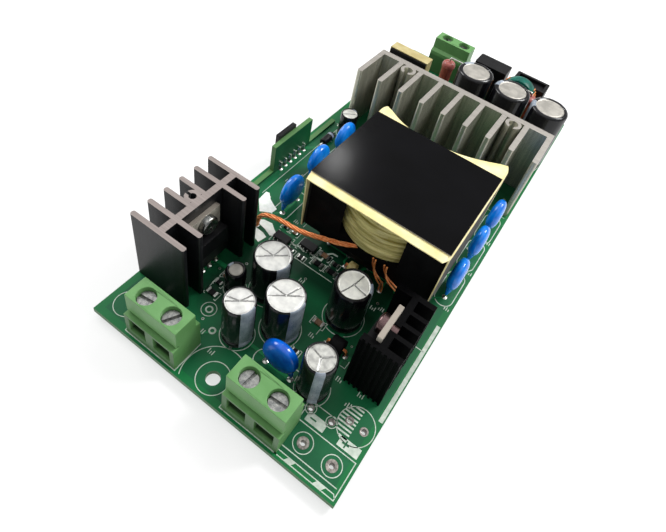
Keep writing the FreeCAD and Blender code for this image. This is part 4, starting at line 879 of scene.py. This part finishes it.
card_green = Finish("card_mask", (12, 70, 38), (18, 84, 46), drift=6.0, grain=0.2, rough=(0.32, 0.42),
                    depth=0.004, Specular_IOR_Level=0.2)
card_green.cover(card_green.edge_on(0), (76, 115, 68))
dress("daughter_board", card_green)
dress("daughter_component", moulded_black, edge=0.25)
dress("daughter_pins", tin, edge=0.05)
card_low, card_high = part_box("daughter_board")
fillet = Form()
fillet_profile = [(0.0, -0.02), (0.85, -0.02), (0.8, 0.08), (0.5, 0.3), (0.3, 0.58), (0.0, 0.6)]
fillet.lathe(origin, fillet_profile, 16, axis="X")
card_solder_level = board_high.z + 1.7 * MM
spread("card_solder", [Vector((card_high.x, (low.y + high.y) / 2, card_solder_level))
                       for low, high in islands("daughter_pins")], fillet, tin)


# Line choke and boxed parts: a ferrite core on a moulded base, wrapped in honey-coloured tape that leaves
# its front edge bare; and two potted boxes, one with a sunk field on top.

honey_tape = Finish("honey_tape", (164, 150, 100), (184, 172, 126), drift=4.0, grain=0.3,
                    rough=(0.3, 0.44), depth=0.01)
dress("line_choke_tape", honey_tape, edge=0.15)
dress("line_choke_core", ferrite, edge=0.15)
dress("line_choke_base_block", moulded_black, edge=0.12)
dress("filter_box", moulded_black, edge=0.25, segments=3)
dress("choke_frame", moulded_black, edge=0.2, segments=3)


# Wound ring: a coated ring core with one layer of enamelled wire wound on either side. It stands on edge on
# a ledge of the frame, and its wire ends go down to the board.

ring_coat = Finish("ring_coat", (6, 70, 60), (14, 98, 84), drift=2.0, grain=0.2, rough=(0.3, 0.42),
                   depth=0.01, Specular_IOR_Level=0.2)
ring_low, ring_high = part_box("storage_toroid")
ring_radius = (ring_high.x - ring_low.x) / 2 / MM
half = (ring_high.y - ring_low.y) / 2 / MM
hub = middle(ring_low, ring_high, ring_high.z - ring_radius * MM)


def both_ends(side, half):
    """A closed profile from one side's (radius, inset) points and their mirror image."""
    profile = [(radius, inset - half) for radius, inset in side]
    profile += [(radius, half - inset) for radius, inset in reversed(side)]
    return profile + profile[:1]


wound = Form()
core_side = [(3.0, 0.9), (3.2, 0.55), (3.6, 0.4), (5.7, 0.4), (6.2, 0.6), (6.4, 1.1)]
wound.lathe(hub, both_ends(core_side, half), 72, "Y")
wound.paint = 1
ROUNDS, STEPS = 11, 20
ARC_START, ARC = 52, 112
LAYER_MIDDLE, LAYER_HALF, RING_WIRE_RADIUS, RING_WIRE_SPREAD = 4.7, 1.86, 0.22, 4.08
foot_level = board_high.z + SOLDERED_END * MM
for side in (-1, 1):
    path = []
    for step in range(ROUNDS * STEPS + 1):
        around = math.radians(ARC_START + ARC * step / (ROUNDS * STEPS))
        turn = 2 * math.pi * step / STEPS
        swing, deep = math.cos(turn), math.sin(turn)
        out = LAYER_MIDDLE + LAYER_HALF * math.copysign(abs(swing) ** 0.45, swing)
        across = (half - RING_WIRE_RADIUS) * math.copysign(abs(deep) ** 0.45, deep)
        path.append(hub + Vector((side * out * math.sin(around), across, out * math.cos(around))) * MM)
    for height in (hub.z - 5.6 * MM, hub.z - 7.0 * MM, board_high.z + 4 * MM, foot_level):
        path.append(Vector((hub.x + side * RING_WIRE_SPREAD * MM, hub.y, height)))
    wound.tube(path, RING_WIRE_RADIUS, 8)
wound.piece("wound_ring", "green_toroid", [ring_coat, copper], ["storage_toroid"], angle=40)


# Upright parts: two coated parts stand on one end between the cans. Each has swollen ends and a wire that
# loops over from its top and runs down beside it.

brown_coat = Finish("brown_coat", (104, 46, 38), (150, 74, 60), drift=0.9, grain=0.12, stretch=(3, 3, 0.5),
                    rough=(0.28, 0.42), depth=0.012)
pink_coat = Finish("pink_coat", (134, 66, 60), (160, 88, 80), drift=0.9, grain=0.12, rough=(0.26, 0.4),
                   depth=0.01)
orange_coat = Finish("orange_coat", (206, 84, 56), (232, 120, 84), drift=1.0, grain=0.12, rough=(0.26, 0.4),
                     depth=0.01)


def rounded(route, reach):
    """A route of board places as points, with its corners rounded."""
    spots = [at(*place) for place in route]
    path = [spots[0]]
    for before, corner, after in zip(spots, spots[1:], spots[2:]):
        start = corner + (before - corner).normalized() * reach * MM
        end = corner + (after - corner).normalized() * reach * MM
        path += [start.lerp(corner, s).lerp(corner.lerp(end, s), s) for s in (0, 0.2, 0.4, 0.6, 0.8, 1)]
    return path + [spots[-1]]


lower_end = [(0.0, 5.8), (0.9, 5.82), (1.7, 6.0), (2.25, 6.5), (2.48, 7.2), (2.46, 8.0), (2.28, 8.8),
             (2.14, 9.6), (2.12, 13.0), (2.14, 17.6), (2.28, 18.3), (2.46, 19.0)]
upper_end = [(2.46, 19.0), (2.48, 19.8), (2.3, 20.5), (1.8, 21.0), (1.1, 21.24), (0.45, 21.3), (0.0, 21.3)]
LOOP_TOP, LOOP_REACH, UPRIGHT_WIRE_RADIUS = 22.75, 5, 0.31
wires = Form()


def upright(which, side, slot, finishes):
    """One part on end, and the side on which its wire comes down."""
    x, y = place_of(which + "_upright_resistor").xy
    body = Form()
    for paint, profile in enumerate((lower_end, upper_end)):
        body.paint = paint
        body.lathe(at(x, y), profile, 48)
    body.piece(which + "_upright_body", slot, finishes, [which + "_upright_resistor"], angle=50)
    over = x + side * LOOP_REACH
    loop = rounded([(x, y, 21.0), (x, y, LOOP_TOP), (over, y, LOOP_TOP), (over, y, SOLDERED_END)], 0.75)
    for path in (loop, [at(x, y, level) for level in (6.0, 2.0, SOLDERED_END)]):
        wires.tube(path, UPRIGHT_WIRE_RADIUS, 12)


upright("front", 1, "brown_coat", [brown_coat, pink_coat])
upright("rear", -1, "orange_coat", [orange_coat, pink_coat])
wires.piece("upright_wires", "tinned_copper", [tin], ["upright_leads"], angle=50)


# Beads and diode: a dark ferrite bead and a small yellow one lie along the board, each on the copper wire
# that passes through it; the diode lies low on bent leads.

yellow_bead = Finish("yellow_bead", (214, 190, 112), (236, 218, 150), drift=0.8, grain=0.15,
                     rough=(0.3, 0.42), depth=0.01)
BEAD_WIRE_RADIUS = 0.2
through = Form()


def threaded(name, radius, hole, length, slot, finish):
    """A bead with rounded ends, and its wire with both ends bent down into the board."""
    x, y = place_of(name).xy
    end = [(hole, 0.15), (hole + 0.12, 0), (radius - 0.4, 0), (radius - 0.12, 0.12), (radius, 0.4)]
    body = Form()
    body.lathe(at(x, y, radius), both_ends(end, length / 2), 48, "X")
    body.piece(name + "_ring", slot, [finish], [name], angle=50)
    reach = length / 2 + 0.96
    for shift in (-0.16, 0.16):
        route = [(x - reach, y + shift, SOLDERED_END), (x - reach, y + shift, radius + shift),
                 (x + reach, y - shift, radius - shift), (x + reach, y - shift, SOLDERED_END)]
        through.tube(rounded(route, 0.7), BEAD_WIRE_RADIUS, 10)


threaded("bead", 2.3, 0.9, 3.8, "ferrite", ferrite)
threaded("small_bead", 1.6, 0.6, 2.6, "yellow_bead", yellow_bead)
through.piece("bead_wires", "copper_wire", [copper], ["bead_leads"], angle=50)

diode = Form()
diode_x, diode_y = place_of("start_diode").xy
diode_radius = 1.4
diode_front = [(0.0, -3.0), (0.9, -3.0), (1.2, -2.88), (1.38, -2.6), (diode_radius, 1.2)]
diode_back = [(diode_radius, 2.2), (1.38, 2.6), (1.2, 2.88), (0.9, 3.0), (0.0, 3.0)]
for paint, profile in ((0, diode_front), (1, [diode_front[-1], diode_back[0]]), (0, diode_back)):
    diode.paint = paint
    diode.lathe(at(diode_x, diode_y, diode_radius), profile, 40, "Y")
diode.paint = 2
front, back = diode_y - 4.5, diode_y + 4.5
diode_route = [(diode_x, y, z) for y, z in (
    (front, SOLDERED_END), (front, diode_radius), (back, diode_radius), (back, SOLDERED_END))]
diode.tube(rounded(diode_route, 0.6), 0.3, 12)
diode.piece("diode_on_leads", "black_moulding", [moulded_black, stripe, tin], ["start_diode"], angle=50)


# Surface parts: chips with tinned ends and two packages with bent legs, each soldered flat on its pads
# between the output cans and the transformer.

chip_brown = Finish("chip_brown", (92, 66, 46), (128, 96, 68), drift=0.6, grain=0.1, rough=(0.36, 0.5),
                    depth=0.006)
PACKAGE_WIDTH, LEG_PITCH = 4, 1.27
chips = Form()
for number, (low, high) in enumerate(islands("surface_parts")):
    corner, size = (low - at(0, 0)) / MM, (high - low) / MM
    x0, y0, x1, y1, top = corner.x, corner.y, corner.x + size.x, corner.y + size.y, size.z
    if size.x > PACKAGE_WIDTH:
        chips.paint = 0
        chips.block(x0 + 0.05, x1 - 0.05, y0 + 0.65, y1 - 0.65, 0.12, top)
        chips.paint = 1
        for leg in range(4):
            x = x0 + 0.6 + leg * LEG_PITCH
            for edge, inner in ((y0, y0 + 0.7), (y1, y1 - 0.7)):
                step = edge + (inner - edge) * 0.45
                leg_route = ((inner, 0.85), (step, 0.8), (step, 0.2), (edge, 0.14))
                chips.tube([at(x, y, level) for y, level in leg_route], 0.15, 6)
        continue
    chips.paint = 2 if number % 3 == 1 else 0
    cap = 0.22 * size.x
    chips.block(x0 + cap, x1 - cap, y0 + 0.03, y1 - 0.03, 0.02, top - 0.03)
    chips.paint = 1
    chips.block(x0, x0 + cap, y0, y1, 0.0, top)
    chips.block(x1 - cap, x1, y0, y1, 0.0, top)
chip_parts = chips.piece("chip_parts", "chip_bodies", [moulded_black, tin, chip_brown], ["surface_parts"])
round_edges(chip_parts, 0.06)


# Printed marks, tracks and open pads: white ink marks the places of the parts. Below it the copper tracks
# raise the mask a little, and the empty holes and the fine through-holes are tinned.

ink = Finish("white_ink", (166, 180, 166), (196, 206, 194), drift=1.5, grain=0.2, rough=(0.5, 0.65),
             depth=0.004)
track_green = Finish("masked_track", (24, 112, 66), (32, 124, 74), drift=6.0, grain=0.25, rough=(0.3, 0.38),
                     depth=0.003, Specular_IOR_Level=0.18)
SUNK = -0.04


def ribbon(form, places, width, high=0.03):
    """A flat line with mitred corners along places on the board."""
    spots = [Vector(place) for place in places]
    rings = []
    for n, spot in enumerate(spots):
        before = (spot - spots[n - 1]).normalized() if n else (spots[1] - spot).normalized()
        after = (spots[n + 1] - spot).normalized() if n + 1 < len(spots) else before
        across = Vector((-before.y - after.y, before.x + after.x)).normalized()
        across *= width / 2 / max(0.4, across.dot(Vector((-before.y, before.x))))
        rings.append([at(*(spot + across), SUNK), at(*(spot - across), SUNK),
                      at(*(spot - across), high), at(*(spot + across), high)])
    form.skin(rings)


def hoop(form, x, y, radius, width=0.2, high=0.03):
    """A full ring round a place."""
    inner, outer = radius - width / 2, radius + width / 2
    section = [(inner, SUNK), (outer, SUNK), (outer, high), (inner, high), (inner, SUNK)]
    form.lathe(at(x, y), section, 64)


def bow(form, x, y, radius, start, end, width=0.2):
    """Part of a ring, between two angles in degrees."""
    count = max(6, int(abs(end - start) / 6))
    turns = [math.radians(start + (end - start) * n / count) for n in range(count + 1)]
    ribbon(form, [(x + radius * math.cos(t), y + radius * math.sin(t)) for t in turns], width)


print_lines = Form()
terminal_lines = (
    [(10.4, 9.2), (10.4, 0.8), (26.9, 0.8), (26.9, 9.4)], [(40.8, 4.0), (40.8, 0.8), (57.4, 0.8)],
    [(56.9, 3.1), (72.0, 3.1)], [(56.2, 1.9), (72.0, 1.9), (72.6, 1.3)],
    [(56.7, 0.8), (72.6, 0.8), (72.6, 9.8), (56.6, 9.8), (56.6, 12.4)],
    [(26.0, 164.4), (43.6, 164.4), (43.6, 171.6)])
part_lines = (
    [(57.4, 15.0), (64.0, 15.0)], [(28.8, 45.0), (41.8, 45.0)], [(17.1, 21.1), (17.1, 26.4), (19.4, 28.6)],
    [(24.0, 55.6), (24.0, 71.0), (27.0, 71.0)], [(62.6, 50.2), (68.2, 50.2), (68.2, 56.4)],
    [(30.0, 79.4), (64.6, 79.4)], [(19.0, 79.4), (25.8, 79.4), (25.8, 86.0)], [(59.2, 43.2), (72.6, 43.2)],
    [(3.4, 133.0), (3.4, 147.0), (19.2, 147.0)], [(31.6, 149.8), (31.6, 161.6), (63.0, 161.6)],
    [(10.0, 164.0), (10.0, 171.2)])
thin_lines = (
    [(6.0, 58.0), (6.0, 118.0)], [(66.0, 103.6), (72.4, 103.6)], [(4.0, 103.4), (6.0, 103.4)],
    [(47.6, 29.4), (47.6, 33.2)], [(49.0, 26.4), (58.6, 26.4), (58.6, 31.8)])
for routes, width in ((terminal_lines, 0.224), (part_lines, 0.2), (thin_lines, 0.176)):
    for route in routes:
        ribbon(print_lines, route, width)
for x, y, radius in (
        (5.5, 6.0, 3.6), (35.1, 4.9, 4.1), (21.8, 17.6, 2.0), (32, 16.9, 4.45), (39.4, 24.9, 5.5),
        (29.9, 31.9, 5.5), (50.4, 38.1, 5.7), (55, 17.5, 4.5), (22.7, 26.5, 3.1), (9.5, 101, 3.5),
        (37.9, 137.3, 7.0), (52.4, 136.9, 7.0), (66.1, 137.2, 6.9), (60.7, 6.2, 2.35), (68.6, 6.2, 2.35),
        (57.6, 13.5, 1.35), (63.3, 13.8, 1.35), (68.4, 16.5, 4.6), (33.4, 167.7, 4.1)):
    hoop(print_lines, x, y, radius)
hoop(print_lines, 21.9, 17.6, 0.85, 0.4)
hoop(print_lines, 26.6, 13.7, 0.75, 0.45)
bow(print_lines, 35.1, 4.9, 8.0, -31, 211)
DISC_MARK, DISC_MARK_WIDTH = 4.2, 0.25
for x, y, tall in ((15.4, 59.6, True), (13.8, 76.2, True), (13.9, 91.8, True), (69.6, 66, True),
                   (69.6, 81.5, True), (69.6, 95.4, True), (45.8, 15.9, False)):
    for end in (-1, 1):
        if tall:
            side = x + end * 2.7
            bow(print_lines, x, y + end * DISC_MARK, 2.7, 0, end * 180, DISC_MARK_WIDTH)
            ribbon(print_lines, [(side, y - DISC_MARK), (side, y + DISC_MARK)], DISC_MARK_WIDTH)
        else:
            side = y + end * 2.8
            bow(print_lines, x + end * DISC_MARK, y, 2.8, -90, -90 + end * 180, DISC_MARK_WIDTH)
            ribbon(print_lines, [(x - DISC_MARK, side), (x + DISC_MARK, side)], DISC_MARK_WIDTH)
hatched_radius, hatch_step = 4.5, 0.95
for step in range(-4, 5):
    height = hatch_step * step
    reach = math.sqrt(max(0.1, hatched_radius ** 2 - height ** 2))
    ribbon(print_lines, [(68.4 - reach, 16.5 + height), (68.3, 16.5 + height)], 0.42)
for x0, x1 in ((57.8, 62.9), (66.8, 72.3)):
    ribbon(print_lines, [(x0, 11.7), (x1, 11.7)], 2.4)
for x0, x1 in ((59.3, 61.9), (67.0, 70.0)):
    print_lines.prism([(x0, 0.85), (x1 - 0.7, 0.85), (x1, 1.85), (x0 + 0.7, 1.85)], SUNK, 0.035)
ribbon(print_lines, [(72.5, 20.8), (72.5, 52.6)], 1.1)
for route, width in (
        ([(30.7, 49.4), (32.7, 49.0), (35.2, 49.2), (35.1, 51.9), (36.5, 53.4), (38.2, 53.5)], 0.55),
        ([(20.8, 48.3), (23.6, 47.4), (23.4, 48.9), (25.9, 48.4), (27.5, 49.0), (29.6, 48.4)], 0.45)):
    ribbon(print_lines, route, width)
for low, high in islands("surface_parts"):
    (x0, y0), (x1, y1) = ((corner - at(0, 0)).xy / MM for corner in (low, high))
    for x, inward in ((x0 - 0.5, 0.6), (x1 + 0.5, -0.6)):
        bracket = [(x + inward, y0 - 0.4), (x, y0 - 0.4), (x, y1 + 0.4), (x + inward, y1 + 0.4)]
        ribbon(print_lines, bracket, 0.2)
short_marks = (
    (29.6, 8.8), (24.0, 11.4), (46.2, 27.8), (34.4, 39.4), (44.0, 43.2), (58.4, 22.6), (54.6, 45.0),
    (56.6, 46.2), (20.6, 55.2), (64.8, 22.6), (63.6, 18.8), (9.0, 55.4), (8.2, 67.0), (8.4, 84.0),
    (71.2, 58.4), (71.4, 74.0), (71.4, 88.8), (24.2, 103.0), (15.4, 107.2), (23.0, 130.0))
for number, (x, y) in enumerate(short_marks):
    for stroke in range(3):
        tall = (1.3, 0.8, 1.3)[(stroke + number) % 3]
        ribbon(print_lines, [(x + stroke * 0.62, y), (x + stroke * 0.62, y + tall)], 0.24)
print_lines.piece("printed_marks", "board", [ink], angle=30)

# Real white print, painted brighter than the other ink: the extra brightness is a painted highlight.
ink_with_painted_highlight = Finish("ink_with_painted_highlight", (226, 232, 222), (244, 246, 240), drift=1.5, grain=0.2, rough=(0.5, 0.65),
                    depth=0.004)
patches = Form()
for outline in (
        [(6.9, 55.3), (6.6, 59.2), (7.7, 59.5), (9.7, 57.6), (12.3, 56.3), (13.6, 55.8), (13.4, 53.6),
         (10.2, 51.6)],
        [(11.8, 48.7), (13.3, 50.0), (16.1, 50.5), (18.0, 49.1), (20.6, 47.7), (18.4, 46.4), (15.7, 47.4),
         (13.4, 47.8)],
        [(13.2, 46.2), (16.3, 46.0), (18.0, 45.3), (17.4, 42.4), (14.4, 43.4)]):
    patches.prism(outline, SUNK, 0.032)
patches.piece("printed_patches", "board", [ink_with_painted_highlight], angle=30)

signs = Form()
ribbon(signs, [(58.7, 11.7), (60.4, 11.7)], 0.36, 0.05)
ribbon(signs, [(67.7, 11.7), (69.5, 11.7)], 0.36, 0.05)
ribbon(signs, [(68.6, 10.8), (68.6, 12.6)], 0.36, 0.055)
signs.piece("pole_signs", "board", [mask_green], angle=30)

LONGEST_TRACK = 24
tracks = Form()
places = sorted(tuple(((low + high) / 2 - board_low).xy / MM) for low, high in joints)
for number, (x, y) in enumerate(places):
    near = sorted(places[number + 1:], key=lambda spot: math.hypot(spot[0] - x, spot[1] - y))
    if not near or math.hypot(near[0][0] - x, near[0][1] - y) > LONGEST_TRACK:
        continue
    goal_x, goal_y = near[0]
    slant = min(abs(goal_x - x), abs(goal_y - y))
    knee = (goal_x - math.copysign(slant, goal_x - x), y) if abs(goal_x - x) > abs(goal_y - y) else (
        x, goal_y - math.copysign(slant, goal_y - y))
    route = [(x, y)] + [knee] * (math.dist(knee, (x, y)) > 0.5 and math.dist(knee, near[0]) > 0.5) + [near[0]]
    ribbon(tracks, route, 0.5 + 0.35 * (number % 3), 0.012 + 0.0004 * number)
tracks.piece("raised_tracks", "board", [track_green], angle=30)

pad_metal = Finish("pad_metal", (96, 92, 88), (150, 144, 138), drift=0.7, grain=0.15, rough=(0.3, 0.46),
                   depth=0.012, Metallic=0.7)
rings = Form()
for x, y, radius in ((60.7, 6.2, 1.45), (68.6, 6.2, 1.45), (57.6, 13.5, 0.95), (63.3, 13.8, 0.95),
                     (66.5, 16.7, 1.1), (70.5, 16.6, 1.1)):
    rings.lathe(at(x, y), [(radius, -0.02), (radius - 0.04, 0.05), (0.78, 0.07), (0.64, 0.03), (0.6, -0.1),
                           (0.6, -1.5), (0.66, -1.55), (0.66, -0.1), (radius, -0.02)], 48)
rings.piece("open_pads", "solder", [pad_metal], angle=40)

chance = random.Random(11)
DOTS, DOT_GAP = 90, 2.2
dots = []
while len(dots) < DOTS:
    spot = (chance.uniform(3, 70.5), chance.uniform(3, 169))
    if all(math.dist(spot, other) > DOT_GAP for other in dots + places):
        dots.append(spot)
eyelet = Form()
eyelet_profile = [(0.17, -0.02), (0.42, -0.02), (0.4, 0.02), (0.22, 0.025), (0.17, -0.02)]
eyelet.lathe(origin, eyelet_profile, 16)
spread("fine_holes", [at(x, y) for x, y in dots], eyelet, tin,
       own_sizes=[chance.uniform(0.8, 1.15) for dot in dots])
